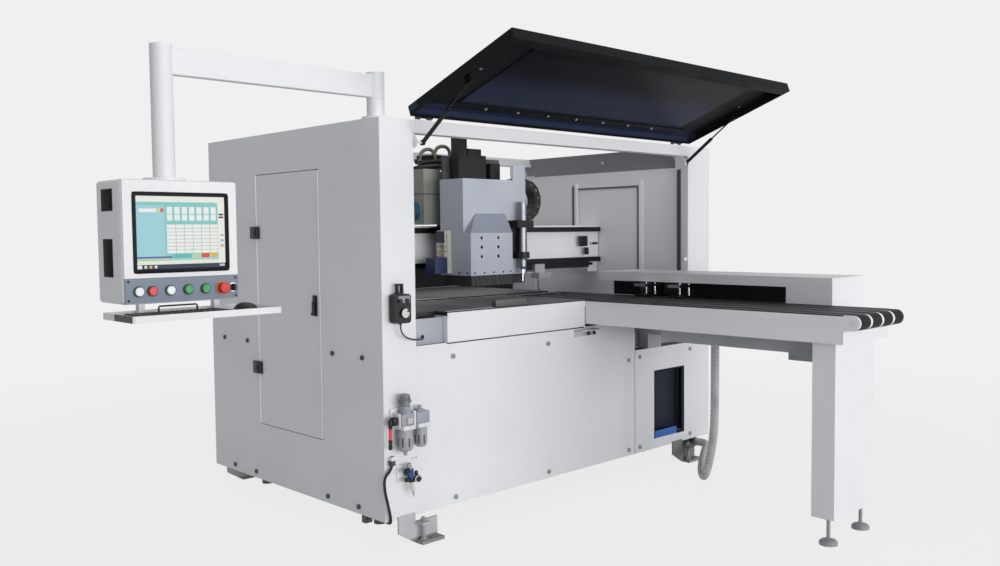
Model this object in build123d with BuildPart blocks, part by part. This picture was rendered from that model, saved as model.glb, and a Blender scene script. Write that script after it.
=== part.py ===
"""Six sided CNC panel drilling machine: two sheet metal towers joined by a cross beam,
a drill head above and a drill unit below the table, an infeed table with a clamp guide,
a lifting hood and a control console on a swing arm. Millimetres, +Z up.
The origin is on the floor at the centre of the four floor bolts.
Positions are measured from the left front corner of the body on the floor."""
import os
from math import cos, hypot, pi, radians, sin, tan

from build123d import *

os.makedirs("parts", exist_ok=True)

# Sheet metal, seams, running fits and frame tubes
SHEET = 3
SEAM = 0.3
IN = SHEET + SEAM
FIT = 0.06
TUBE = 60
POST = 40

# Body and towers
BODY_W = 2368
BODY_D = 1456
BODY_TOP = 1785
BODY_LOW = 117
LEFT_W = 176
RIGHT_W = 180
WALL_STEP = 4
WALL_T = 8
RIGHT_X = BODY_W - RIGHT_W
WALL_X = RIGHT_X + WALL_STEP
FLOOR_Z = BODY_LOW + SHEET
FRONT_Y = IN + TUBE - SEAM
REAR_Y = BODY_D - FRONT_Y
OPEN_X0 = LEFT_W + SEAM
OPEN_X1 = RIGHT_X - SEAM

# Cabinet door in the left tower
DOOR_Y0 = 447
DOOR_W = 543
DOOR_Z0 = 397
DOOR_H = 1198
DOOR_T = 20
DOOR_SKIN = 2.5
DOOR_GAP = 3
DOOR_Y1 = DOOR_Y0 + DOOR_W
DOOR_Z1 = DOOR_Z0 + DOOR_H
DOOR_AXIS_X = -9
DOOR_AXIS_Y = DOOR_Y1 + DOOR_GAP / 2
DOOR_HINGES_Z = (DOOR_Z0 + 273, DOOR_Z1 - 274)
GEAR_X = LEFT_W - 26

# Table, infeed and belts
TABLE_TOP = 970
PLATE_T = 18
BEAM_H = 117
INFEED_H = 102
INFEED_W = 421
INFEED_GAP = 508
INFEED_END = -1357
SIDE_T = 12
GAP_Y0 = 560
GAP_W = 80
BEAM_TOP = TABLE_TOP - PLATE_T
RAIL_TOP = BEAM_TOP - BEAM_H
INFEED_LOW = BEAM_TOP - INFEED_H
INFEED_X1 = RIGHT_X - INFEED_GAP
INFEED_X0 = INFEED_X1 - INFEED_W
TABLE_X0 = LEFT_W + 4
TABLE_X1 = INFEED_X1
GAP_Y1 = GAP_Y0 + GAP_W
FRONT_BEAM_X0 = LEFT_W + 170
FRONT_END = INFEED_X1 - 11
MID_POST_X = INFEED_X0 - 119
DRUM_Y = 440
PULLEY_OUT = 38
PULLEY_R = 28.4
SHAFT_R = 8
BELT_T = 3
BELT_COUNT = 4
BELT_PLAY = 0.1
FIN_W = 18
FIN_GAP = 2
BELT_STEP = FIN_W + 2 * FIN_GAP
BELT_W = (INFEED_W - 2 * (SIDE_T + FIN_GAP) - (BELT_COUNT - 1) * BELT_STEP) / BELT_COUNT
BELT_XS = [INFEED_X0 + SIDE_T + FIN_GAP + i * (BELT_W + BELT_STEP) for i in range(BELT_COUNT)]
BELT_IN_R = PULLEY_R + BELT_PLAY
PULLEY_Y = INFEED_END - PULLEY_OUT
PULLEY_Z = TABLE_TOP - BELT_T - BELT_IN_R
FIN_R = BELT_IN_R + BELT_T - 1
LEG_Y0 = INFEED_END + 47
LEG_D = 100
LEG_Z0 = 119.7
LEG_Y1 = LEG_Y0 + LEG_D

# Clamp guide beside the infeed
GUARD_GAP = 10
GUARD_W = 320
GUARD_H = 192
GUARD_DROP = 70
GUARD_END = -1095
GUARD_BACK = 260
SLOT_H = 76
RAIL_W = 30
RAIL_H = 25
CLAMPS_Y = (-70, -283)
JAW_OVER = 58
JAW_GAP = 42
ROD_R = 6
GUARD_X0 = INFEED_X1 + GUARD_GAP
GUARD_X1 = GUARD_X0 + GUARD_W
GUARD_BASE = TABLE_TOP - GUARD_DROP
GUARD_TOP = GUARD_BASE + GUARD_H
SLOT_Z0 = TABLE_TOP - 1
SLOT_Z1 = SLOT_Z0 + SLOT_H
SLOT_END = GUARD_END + 227
CLAMP_BEAM_X0 = GUARD_X0 + 50
CLAMP_BEAM_W = 220
CLAMP_BEAM_H = 137
CLAMP_BEAM_Z1 = GUARD_BASE - SHEET
CLAMP_BEAM_Z0 = CLAMP_BEAM_Z1 - CLAMP_BEAM_H
CLAMP_RAIL_X = GUARD_X0 + 160
JAW_X0 = INFEED_X1 - JAW_OVER
JAW_Z0 = TABLE_TOP + 10
JAW_Z1 = JAW_Z0 + JAW_GAP
ROD_X = GUARD_X0 + 26
CHUTE_TOP = CLAMP_BEAM_Z0 - 85

# Chip window
CHUTE_W = 254
CHUTE_Z0 = 188
CHUTE_Z1 = 542
CHUTE_X1 = RIGHT_X - 87
CHUTE_X0 = CHUTE_X1 - CHUTE_W

# Cross beam, carriage and drill head
BEAM_Y0 = 690
BEAM_D = 170
BEAM_T = 222
PASS_H = 156
BEAM_Y1 = BEAM_Y0 + BEAM_D
BEAM_Z0 = TABLE_TOP + PASS_H
BEAM_Z1 = BEAM_Z0 + BEAM_T
RAILS_Z = (BEAM_Z0 + 16, BEAM_Z1 - 23)
RAIL_Y0 = BEAM_Y0 - 26
CAR_Y1 = BEAM_Y0 - 45
CAR_Y0 = CAR_Y1 - 40
HEAD_X0 = 810
HEAD_W = 443
HEAD_D = 175
HEAD_H = 484
HEAD_X1 = HEAD_X0 + HEAD_W
HEAD_Y1 = CAR_Y0 - 30
HEAD_Y0 = HEAD_Y1 - HEAD_D
HEAD_Z0 = TABLE_TOP + 128
HEAD_Z1 = HEAD_Z0 + HEAD_H
NOSE_W = 290
NOSE_D = 54
NOSE_H = 211
SLOPE_H = 101
SLOPE_W = 83
NOSE_X1 = HEAD_X0 + NOSE_W
NOSE_Y0 = HEAD_Y0 - NOSE_D
NOSE_Z1 = HEAD_Z0 + NOSE_H
SLOPE_Z1 = NOSE_Z1 + SLOPE_H
SLOPE_X0 = HEAD_X0 + SLOPE_W
ROUTER_X = NOSE_X1 + 90
ROUTER_Y = NOSE_Y0 + 16
ROUTER_R = 21.6
QUILL_R = 9
QUILL_FIT = 0.08
BIT_R = 4
DRILL_PITCH = 64
DRILLS = [(HEAD_X0 + 40 + i * DRILL_PITCH, HEAD_Y0 + dy) for dy in (40, 100) for i in range(4)]

# Lower drill unit
LOWER_Y0 = GAP_Y1 + 10
LOWER_Z1 = RAIL_TOP - 95
LOWER_H = 100
LOWER_X = 1030
LOWER_PITCH = 45
LOWER_DRILLS = [LOWER_X + i * LOWER_PITCH for i in (-1, 0, 1)]
LOWER_DRILL_Y = GAP_Y0 + GAP_W / 2

# Hood, hinge axis and gas struts
HOOD_X0 = LEFT_W - 24
HOOD_X1 = RIGHT_X - 38
HOOD_L = 660
HOOD_OPEN = 20.1
HOOD_Y = -7
HOOD_Z = BODY_TOP + 13
HOOD_DEEP = 40
HOOD_HINGES = (LEFT_W + 56, RIGHT_X - 150)
HINGE_R = 6
HINGE_PIN_R = 3
STRUT_X = (LEFT_W + 38, RIGHT_X - 70)
STRUT_Y = -16
STRUT_Z = BODY_TOP - 95
STRUT_SEAT = 330
STUD_R = 5
STRUT_R = 9
STRUT_ROD_R = 4

# Control arm and console
POST_X = 64
POST_Y = 105
POST_R = 25
ARM_L = 919
ARM_H = 94
ARM_W = 40
COLUMN_R = 38
HUB_R = 30
TUBE_X = POST_X - ARM_L
ARM_Z0 = BODY_TOP + 89
ARM_Z1 = ARM_Z0 + ARM_H
CON_W = 414
CON_D = 212
CON_H = 415
CON_T = 4
CON_DROP = 374
CON_X0 = TUBE_X - CON_W / 2
CON_X1 = TUBE_X + CON_W / 2
CON_Y1 = POST_Y + 85
CON_Y0 = CON_Y1 - CON_D
CON_Z1 = ARM_Z0 - CON_DROP
CON_Z0 = CON_Z1 - CON_H
FACE_Y = CON_Y0 - 3
PLATE_H = 82.2
BUTTON_Z = CON_Z0 + 43
BUTTON_R = 14.5
STEM_R = 11
KNOB_STEM_R = 8
BUTTON_XS = (TUBE_X - 158, TUBE_X - 112, TUBE_X - 50, TUBE_X + 14, TUBE_X + 77)
ESTOP_X = TUBE_X + 141
SELECTOR_X = TUBE_X + 180
TRAY_Z0 = CON_Z0 - 45

# Floor brackets and anchor bolts
BOLT_INSET = 213
BOLT_OUT = 30
BOLT_R = 9
JACK_R = 8
BOLT_DX = BODY_W / 2 - BOLT_INSET
BOLT_DY = BODY_D / 2 + BOLT_OUT

# Cords
CABLE_R = 6
LEAD_R = 3
HOSE_R = 22.5
HOSE_ROOT_R = 20.5
HOSE_BORE_R = 18.5
HOSE_RIBS = 44


def place(x, y, z):
    return (x - BODY_W / 2, y - BODY_D / 2, z)


def block(x0, x1, y0, y1, z0, z1, mode=Mode.ADD):
    with Locations(place((x0 + x1) / 2, (y0 + y1) / 2, (z0 + z1) / 2)):
        Box(x1 - x0, y1 - y0, z1 - z0, mode=mode)


def upright(x, y, z0, z1, r, mode=Mode.ADD):
    with Locations(place(x, y, (z0 + z1) / 2)):
        Cylinder(r, z1 - z0, mode=mode)


def along_x(x0, x1, y, z, r, mode=Mode.ADD):
    with Locations(place((x0 + x1) / 2, y, z)):
        Cylinder(r, x1 - x0, rotation=(0, 90, 0), mode=mode)


def along_y(x, y0, y1, z, r, mode=Mode.ADD):
    with Locations(place(x, (y0 + y1) / 2, z)):
        Cylinder(r, y1 - y0, rotation=(90, 0, 0), mode=mode)


def front_plane(x, y, z):
    return Plane(origin=place(x, y, z), x_dir=(1, 0, 0), z_dir=(0, -1, 0))


def side_plane(x, y, z):
    return Plane(origin=place(x, y, z), x_dir=(0, 1, 0), z_dir=(1, 0, 0))


# Welded base frame, tower posts, round feet and the dust port below the frame
SILL_Z1 = FLOOR_Z + TUBE
POSTS_X = (LEFT_W + 24, MID_POST_X, RIGHT_X - 80)
PORT_X = RIGHT_X + 57
PAD_R = 28
PAD_H = 18
PAD_STEM_R = 12
PADS_X = (POSTS_X[0] + 14, POSTS_X[2] + 30)
PADS_Y = (325, BODY_D - 146)
with BuildPart() as base_frame:
    for y0, y1 in ((IN, FRONT_Y), (REAR_Y, BODY_D - IN)):
        block(OPEN_X0, OPEN_X1, y0, y1, FLOOR_Z, SILL_Z1)
    for x in POSTS_X:
        block(x, x + TUBE, FRONT_Y + SEAM, REAR_Y - SEAM, FLOOR_Z, SILL_Z1)
        block(x, x + TUBE, REAR_Y, BODY_D - IN, SILL_Z1 + SEAM, RAIL_TOP - TUBE - SEAM)
    block(MID_POST_X + TUBE + SEAM, POSTS_X[2] - SEAM, 380, 380 + TUBE, FLOOR_Z, SILL_Z1)
    for x in (POSTS_X[0], MID_POST_X, FRONT_END - TUBE):
        block(x, x + TUBE, IN, FRONT_Y, SILL_Z1 + SEAM, RAIL_TOP - TUBE - SEAM)
    block(POSTS_X[2], POSTS_X[2] + TUBE, IN, FRONT_Y, SILL_Z1 + SEAM, CHUTE_TOP - TUBE - SEAM)
    block(OPEN_X0, FRONT_END, IN, FRONT_Y, RAIL_TOP - TUBE, RAIL_TOP)
    block(FRONT_END + SEAM, OPEN_X1, IN, FRONT_Y, CHUTE_TOP - TUBE, CHUTE_TOP)
    block(OPEN_X0, OPEN_X1, REAR_Y, BODY_D - IN, RAIL_TOP - TUBE, RAIL_TOP)
    for x in (POSTS_X[0], TABLE_X1 - 80):
        block(x, x + TUBE, FRONT_Y + SEAM, REAR_Y - SEAM, RAIL_TOP - TUBE, RAIL_TOP)
    for x in (IN, LEFT_W - IN - POST, WALL_X + WALL_T + SEAM, BODY_W - IN - POST):
        for y in (IN, BODY_D - IN - POST):
            block(x, x + POST, y, y + POST, BODY_LOW + IN, BODY_TOP - IN)
    for x in PADS_X:
        for y in PADS_Y:
            upright(x, y, 0, PAD_H, PAD_R)
            upright(x, y, PAD_H - 1, FLOOR_Z + 1, PAD_STEM_R)
    block(PORT_X - 40, PORT_X + 40, 30, 110, 58, BODY_LOW)
    along_y(PORT_X, 5, 30, 88, HOSE_R + 3.5)
    block(9, 44, 150, 178, 80, BODY_LOW)
    along_y(22, 138, 150, 93, 9)
base_frame.part.label = "base_frame"
export_step(base_frame.part, "parts/base_frame.step")

# Four floor brackets: a winged back plate, a foot with the anchor hole and a flange for the jack bolt
BRACKET_HALF = 60
BRACKET_L = 56
BRACKET_H = 128
WING_L = 90
WING_Z0 = 55
FOOT_T = 14
BACK_T = 8
FLANGE_Z1 = 92
FLANGE_T = 8
JACK_X = -35
with BuildPart() as floor_brackets:
    for sx in (-BOLT_DX, BOLT_DX):
        for sy in (-1, 1):
            xc = BODY_W / 2 + sx
            yc = BODY_D / 2 + sy * BOLT_DY
            face = 0 if sy < 0 else BODY_D
            y0, y1 = sorted((face, face + sy * BRACKET_L))
            wing = 1 if sx > 0 and sy > 0 else -1
            with BuildSketch(front_plane(xc, max(face, face + sy * BACK_T), 0)):
                with BuildLine():
                    Polyline(
                        (wing * (BRACKET_HALF + WING_L), BRACKET_H),
                        (wing * BRACKET_HALF, BRACKET_H),
                        (wing * BRACKET_HALF, FLANGE_Z1),
                        (-wing * BRACKET_HALF, FLANGE_Z1),
                        (-wing * BRACKET_HALF, 0),
                        (wing * BRACKET_HALF, 0),
                        (wing * (BRACKET_HALF + WING_L), WING_Z0),
                        close=True,
                    )
                make_face()
            extrude(amount=BACK_T)
            block(xc - BRACKET_HALF, xc + BRACKET_HALF, y0, y1, 0, FOOT_T)
            block(xc - BRACKET_HALF, xc + JACK_X + 21, y0, y1, FLANGE_Z1 - FLANGE_T, FLANGE_Z1)
            upright(xc, yc, -1, FOOT_T + 1, BOLT_R, Mode.SUBTRACT)
            upright(xc + JACK_X, yc, -1, FLANGE_Z1 + 1, JACK_R + 0.1, Mode.SUBTRACT)
floor_brackets.part.label = "floor_brackets"
export_step(floor_brackets.part, "parts/floor_brackets.step")

# Black panel bolts, jack bolts of the floor brackets and the two levelling feet of the infeed
BOLT_HEAD_R = 11
BOLT_HEAD_H = 6
SIDE_BOLTS = (
    (BODY_D - 129, 792),
    (BODY_D - 358, 792),
    (360, 792),
    (140, 792),
    (BODY_D - 206, 148),
    (BODY_D - 416, 148),
    (416, 148),
    (183, 148),
)
FRONT_BOLTS = (
    (381, 773),
    (991, 773),
    (388, 148),
    (990, 148),
    (FRONT_END - 53, 148),
    (FRONT_END - 54, 629),
    (FRONT_END + 42, CHUTE_TOP - 38),
    (RIGHT_X - 11, CHUTE_TOP - 38),
    (FRONT_END + 42, 148),
    (RIGHT_X - 10, 150),
)
with BuildPart() as fasteners:
    for y, z in SIDE_BOLTS:
        along_x(-BOLT_HEAD_H, 0, y, z, BOLT_HEAD_R)
        with BuildSketch(side_plane(-BOLT_HEAD_H, y, z)):
            RegularPolygon(5, 6)
        extrude(amount=2, mode=Mode.SUBTRACT)
    for x, z in FRONT_BOLTS:
        along_y(x, -BOLT_HEAD_H, 0, z, BOLT_HEAD_R)
        with BuildSketch(front_plane(x, -BOLT_HEAD_H + 2, z)):
            RegularPolygon(5, 6)
        extrude(amount=3, mode=Mode.SUBTRACT)
    for sx in (-BOLT_DX, BOLT_DX):
        for sy in (-1, 1):
            xc = BODY_W / 2 + sx + JACK_X
            yc = BODY_D / 2 + sy * BOLT_DY
            upright(xc, yc, 0, FLANGE_Z1 + 20, JACK_R)
            for z in (FOOT_T, FLANGE_Z1):
                with BuildSketch(Plane(origin=place(xc, yc, z))):
                    RegularPolygon(14, 6)
                extrude(amount=12)
    for x in (INFEED_X0 + 85, INFEED_X1 - 40):
        yc = (LEG_Y0 + LEG_Y1) / 2
        with BuildSketch(Plane(origin=place(x, yc, 0), x_dir=(1, 0, 0), z_dir=(0, -1, 0))):
            with BuildLine():
                Polyline(
                    (0, 0),
                    (38, 0),
                    (38, 12),
                    (30, 20),
                    (12, 26),
                    (8, 26),
                    (8, LEG_Z0),
                    (0, LEG_Z0),
                    close=True,
                )
            make_face()
        revolve(axis=Axis(place(x, yc, 0), (0, 0, 1)))
        with BuildSketch(Plane(origin=place(x, yc, LEG_Z0 - 15.7))):
            RegularPolygon(15, 6)
        extrude(amount=15.7)
fasteners.part.label = "fasteners"
export_step(fasteners.part, "parts/fasteners.step")

# Outer side sheet of the left tower with the door opening
with BuildPart() as left_side_panel:
    block(0, SHEET, 0, BODY_D, BODY_LOW, BODY_TOP)
    block(
        -1,
        SHEET + 1,
        DOOR_Y0 - DOOR_GAP,
        DOOR_Y1 + DOOR_GAP,
        DOOR_Z0 - DOOR_GAP,
        DOOR_Z1 + DOOR_GAP,
        Mode.SUBTRACT,
    )
    fillet(left_side_panel.edges().filter_by(Axis.X).group_by(Axis.Y)[1:-1], 5)
left_side_panel.part.label = "left_side_panel"
export_step(left_side_panel.part, "parts/left_side_panel.step")

# Remaining sheets of both towers; the right inner wall has a shallow pressed field
WALL_X1 = WALL_X + WALL_T
LEFT_IN_X1 = LEFT_W - IN
RIGHT_IN_X0 = WALL_X1 + SEAM
with BuildPart() as tower_panels:
    for x0, x1 in ((IN, LEFT_W), (RIGHT_X, BODY_W - IN)):
        block(x0, x1, 0, SHEET, BODY_LOW, BODY_TOP)
        block(x0, x1, BODY_D - SHEET, BODY_D, BODY_LOW, BODY_TOP)
    for x0, x1 in ((IN, LEFT_IN_X1), (RIGHT_IN_X0, BODY_W - IN)):
        block(x0, x1, IN, BODY_D - IN, BODY_TOP - SHEET, BODY_TOP)
        block(x0, x1, IN, BODY_D - IN, BODY_LOW, FLOOR_Z)
    block(LEFT_W - SHEET, LEFT_W, IN, BODY_D - IN, BODY_LOW, BODY_TOP)
    block(BODY_W - SHEET, BODY_W, 0, BODY_D, BODY_LOW, BODY_TOP)
    block(RIGHT_X, RIGHT_X + SHEET, SHEET, 46, BODY_LOW, BODY_TOP)
    block(RIGHT_X, RIGHT_X + SHEET, BODY_D - 225.7, BODY_D - SHEET, BODY_LOW, BODY_TOP)
    block(WALL_X, WALL_X1, IN, BODY_D - IN, BODY_LOW, BODY_TOP)
    block(WALL_X - 1, WALL_X + 5, 380, 914, BEAM_Z0 - 62, BODY_TOP - 206, Mode.SUBTRACT)
tower_panels.part.label = "tower_panels"
export_step(tower_panels.part, "parts/tower_panels.step")

# Electrical mounting plate in the left tower with drives, contactors, controller and wiring ducts
GEAR_Y0 = DOOR_Y0 + 13
GEAR_Y1 = DOOR_Y1 - 10
GEAR_Z0 = DOOR_Z0 + 13
GEAR_Z1 = DOOR_Z1 - 10
GEAR_FACE = GEAR_X - SEAM
with BuildPart() as electrical_gear:
    block(GEAR_X, GEAR_X + SHEET, GEAR_Y0, GEAR_Y1, GEAR_Z0, GEAR_Z1)
    for y in (GEAR_Y0 + 20, GEAR_Y1 - 20):
        for z in (GEAR_Z0 + 30, GEAR_Z1 - 30):
            along_x(GEAR_X + 2, LEFT_W - IN, y, z, 8)
    for i in range(5):
        y = GEAR_Y0 + 20 + i * 98
        block(GEAR_X - 88, GEAR_FACE, y, y + 84, GEAR_Z1 - 315, GEAR_Z1 - 130)
        block(GEAR_X - 92, GEAR_X - 88, y + 12, y + 72, GEAR_Z1 - 300, GEAR_Z1 - 245)
    for i in range(9):
        y = GEAR_Y0 + 22 + i * 54
        block(GEAR_X - 65, GEAR_FACE, y, y + 46, GEAR_Z0 + 600, GEAR_Z0 + 680)
    block(GEAR_X - 75, GEAR_FACE, GEAR_Y0 + 22, GEAR_Y0 + 280, GEAR_Z0 + 310, GEAR_Z0 + 440)
    block(GEAR_X - 85, GEAR_FACE, GEAR_Y0 + 310, GEAR_Y0 + 500, GEAR_Z0 + 310, GEAR_Z0 + 450)
    for i in range(24):
        y = GEAR_Y0 + 24 + i * 19.5
        block(GEAR_X - 45, GEAR_FACE, y, y + 18, GEAR_Z0 + 110, GEAR_Z0 + 165)
    for z in (GEAR_Z0 + 40, GEAR_Z0 + 210, GEAR_Z0 + 490, GEAR_Z0 + 740, GEAR_Z1 - 85):
        block(GEAR_X - 55, GEAR_FACE, GEAR_Y0 + 10, GEAR_Y1 - 10, z, z + 45)
electrical_gear.part.label = "electrical_gear"
export_step(electrical_gear.part, "parts/electrical_gear.step")

# Fixed leaves and pins of the door hinges and of the hood hinges
LEAF = 29
KNUCKLE = 10
KNUCKLE_R = 8
DOOR_PIN_R = 4
HOOD_LEAF = 45
HOOD_KNUCKLE = 16
with BuildPart() as fixed_hinges:
    for zc in DOOR_HINGES_Z:
        block(-10, 0, DOOR_AXIS_Y + 8.5, DOOR_AXIS_Y + 42.5, zc - LEAF, zc + LEAF)
        for z0, z1 in ((zc - LEAF, zc - KNUCKLE), (zc + KNUCKLE, zc + LEAF)):
            upright(DOOR_AXIS_X, DOOR_AXIS_Y, z0, z1, KNUCKLE_R)
            block(DOOR_AXIS_X - 4, DOOR_AXIS_X + 4, DOOR_AXIS_Y, DOOR_AXIS_Y + 9.5, z0, z1)
        upright(DOOR_AXIS_X, DOOR_AXIS_Y, zc - LEAF, zc + LEAF, DOOR_PIN_R)
    for xc in HOOD_HINGES:
        block(xc - HOOD_LEAF, xc + HOOD_LEAF, -2, 0, BODY_TOP - 35, BODY_TOP + 1)
        for x0, x1 in ((xc - HOOD_LEAF, xc - HOOD_KNUCKLE), (xc + HOOD_KNUCKLE, xc + HOOD_LEAF)):
            block(x0, x1, -2, 0, BODY_TOP, HOOD_Z + 4)
            along_x(x0, x1, HOOD_Y, HOOD_Z, HINGE_R)
        along_x(xc - HOOD_LEAF, xc + HOOD_LEAF, HOOD_Y, HOOD_Z, HINGE_PIN_R)
fixed_hinges.part.label = "fixed_hinges"
export_step(fixed_hinges.part, "parts/fixed_hinges.step")

# Top rails between the towers, strut brackets with ball studs and the post of the control arm
SLEEVE_Z0 = ARM_Z0 - 5.6
with BuildPart() as top_frame:
    block(OPEN_X0, OPEN_X1, 0, 60, BODY_TOP - 55, BODY_TOP)
    block(OPEN_X0, OPEN_X1, BODY_D - 228, BODY_D - 168, BODY_TOP - 50, BODY_TOP)
    fillet(top_frame.edges().filter_by(Axis.X), 4)
    for wall, tip, x in ((OPEN_X0, LEFT_W + 8, STRUT_X[0]), (STRUT_X[1] - 20, STRUT_X[1] - 10, STRUT_X[1])):
        with BuildSketch(side_plane(wall, 0, STRUT_Z)):
            with BuildLine():
                Polyline(
                    (44, BODY_TOP - 52 - STRUT_Z),
                    (44, -35),
                    (STRUT_Y - 4, -14),
                    (STRUT_Y - 11, 0),
                    (STRUT_Y - 2, 13),
                    (6, BODY_TOP - 52 - STRUT_Z),
                    close=True,
                )
            make_face()
        extrude(amount=tip - wall)
        along_x(wall, x + 8, STRUT_Y, STRUT_Z, STUD_R)
    upright(POST_X, POST_Y, BODY_TOP, BODY_TOP + 10, 58)
    upright(POST_X, POST_Y, BODY_TOP, SLEEVE_Z0 - 0.4, COLUMN_R - 1)
    upright(POST_X, POST_Y, SLEEVE_Z0 - 8, ARM_Z1 - 18, POST_R)
top_frame.part.label = "top_frame"
export_step(top_frame.part, "parts/top_frame.step")

# Lower front sheet
with BuildPart() as front_panel:
    block(OPEN_X0, FRONT_END, 0, SHEET, BODY_LOW, RAIL_TOP)
front_panel.part.label = "front_panel"
export_step(front_panel.part, "parts/front_panel.step")

# Front sheet on the right with the chip window and its folded rim
RIM_D = 22
with BuildPart() as chute_panel:
    block(FRONT_END + 1.5, OPEN_X1, 0, SHEET, BODY_LOW, CHUTE_TOP)
    block(CHUTE_X0 - SHEET, CHUTE_X1 + SHEET, SHEET, RIM_D, CHUTE_Z0 - SHEET, CHUTE_Z1 + SHEET)
    block(CHUTE_X0, CHUTE_X1, -1, RIM_D + 1, CHUTE_Z0, CHUTE_Z1, Mode.SUBTRACT)
chute_panel.part.label = "chute_panel"
export_step(chute_panel.part, "parts/chute_panel.step")

# Chip bin standing on the frame behind the window
BIN_X0 = CHUTE_X0 - 7
BIN_X1 = CHUTE_X1 - 3
BIN_Y0 = FRONT_Y + 3
BIN_Y1 = 436
BIN_T = 4
BIN_TOP = SILL_Z1 + 82
with BuildPart() as chip_bin:
    block(BIN_X0, BIN_X1, BIN_Y0, BIN_Y1, SILL_Z1 + SEAM, BIN_TOP)
    block(
        BIN_X0 + BIN_T,
        BIN_X1 - BIN_T,
        BIN_Y0 + BIN_T,
        BIN_Y1 - BIN_T,
        SILL_Z1 + BIN_T,
        BIN_TOP + 1,
        Mode.SUBTRACT,
    )
    block(BIN_X0 + 10, BIN_X0 + 30, BIN_Y0 - 6, BIN_Y0, BIN_TOP - 27, BIN_TOP - 17)
    block(BIN_X1 - 30, BIN_X1 - 10, BIN_Y0 - 6, BIN_Y0, BIN_TOP - 27, BIN_TOP - 17)
    along_x(BIN_X0 + 10, BIN_X1 - 10, BIN_Y0 - 10, BIN_TOP - 22, 5)
chip_bin.part.label = "chip_bin"
export_step(chip_bin.part, "parts/chip_bin.step")

# White box beams below the tables, infeed side beams with bearing fins, and the lower guide beam
with BuildPart() as table_beams:
    block(FRONT_BEAM_X0, INFEED_X0 - SEAM, -7, 77, RAIL_TOP, BEAM_TOP)
    fillet(table_beams.edges().filter_by(Axis.X), 4)
    for y in (GAP_Y0 - TUBE, GAP_Y1, BODY_D - 66):
        block(TABLE_X0, TABLE_X1, y, y + TUBE, RAIL_TOP, BEAM_TOP)
    for x0 in (INFEED_X0, INFEED_X1 - SIDE_T):
        block(x0, x0 + SIDE_T, INFEED_END, GAP_Y0 - TUBE - SEAM, INFEED_LOW, BEAM_TOP)
        block(x0, x0 + SIDE_T, IN, FRONT_Y, RAIL_TOP, INFEED_LOW)
    block(INFEED_X0 + 1, INFEED_X1 - 1, INFEED_END, INFEED_END + 12, INFEED_LOW, PULLEY_Z - FIN_R - 3)
    for x0 in [INFEED_X0, INFEED_X1 - SIDE_T] + [x - FIN_W - FIN_GAP for x in BELT_XS[1:]]:
        width = SIDE_T if x0 in (INFEED_X0, INFEED_X1 - SIDE_T) else FIN_W
        with BuildSketch(side_plane(x0, PULLEY_Y, PULLEY_Z)):
            Circle(FIN_R)
            with Locations((PULLEY_OUT / 2, 0)):
                Rectangle(PULLEY_OUT, 2 * FIN_R)
            with Locations((PULLEY_OUT + 3, -FIN_R / 2 - 6)):
                Rectangle(10, FIN_R + 12)
            Circle(SHAFT_R + FIT, mode=Mode.SUBTRACT)
        extrude(amount=width)
    block(TABLE_X0 + 20, TABLE_X1 - 20, LOWER_Y0, LOWER_Y0 + 80, LOWER_Z1 - LOWER_H, LOWER_Z1)
    for x in (TABLE_X0 + 20, TABLE_X1 - 80):
        block(x, x + TUBE, LOWER_Y0, LOWER_Y0 + 80, LOWER_Z1 - 1, RAIL_TOP - TUBE - SEAM)
table_beams.part.label = "table_beams"
export_step(table_beams.part, "parts/table_beams.step")

# Dark table plates; the infeed plate has belt grooves and a slot for the inner drum
with BuildPart() as table_plates:
    block(TABLE_X0, INFEED_X0 - SEAM, 77, GAP_Y0, BEAM_TOP, TABLE_TOP)
    block(FRONT_BEAM_X0, INFEED_X0 - SEAM, -7, 77, BEAM_TOP, TABLE_TOP)
    block(TABLE_X0, TABLE_X1, GAP_Y1, BODY_D - 6, BEAM_TOP, TABLE_TOP)
    block(INFEED_X0, INFEED_X1, INFEED_END, GAP_Y0, BEAM_TOP, TABLE_TOP)
    for x in BELT_XS:
        block(
            x - FIN_GAP / 2,
            x + BELT_W + FIN_GAP / 2,
            INFEED_END - 1,
            DRUM_Y,
            TABLE_TOP - BELT_T - BELT_PLAY,
            TABLE_TOP + 1,
            Mode.SUBTRACT,
        )
        block(
            x - FIN_GAP,
            x + BELT_W + FIN_GAP,
            INFEED_END - 1,
            INFEED_END + 8,
            BEAM_TOP - 1,
            TABLE_TOP + 1,
            Mode.SUBTRACT,
        )
    block(
        INFEED_X0 + SIDE_T,
        INFEED_X1 - SIDE_T,
        DRUM_Y - 36,
        DRUM_Y + 36,
        BEAM_TOP - 1,
        TABLE_TOP + 1,
        Mode.SUBTRACT,
    )
table_plates.part.label = "table_plates"
export_step(table_plates.part, "parts/table_plates.step")

# Cross beam with deeper end pieces
BEAM_X1 = WALL_X - SEAM
with BuildPart() as cross_beam:
    block(OPEN_X0, BEAM_X1, BEAM_Y0, BEAM_Y1, BEAM_Z0, BEAM_Z1)
    fillet(cross_beam.edges().filter_by(Axis.X), 8)
    for x0, x1 in ((OPEN_X0, LEFT_W + 86), (RIGHT_X - 82, BEAM_X1)):
        block(x0, x1, BEAM_Y0 + 10, BEAM_Y1 - 10, BEAM_Z0 - 61, BEAM_Z0 + 2)
cross_beam.part.label = "cross_beam"
export_step(cross_beam.part, "parts/cross_beam.step")

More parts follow.
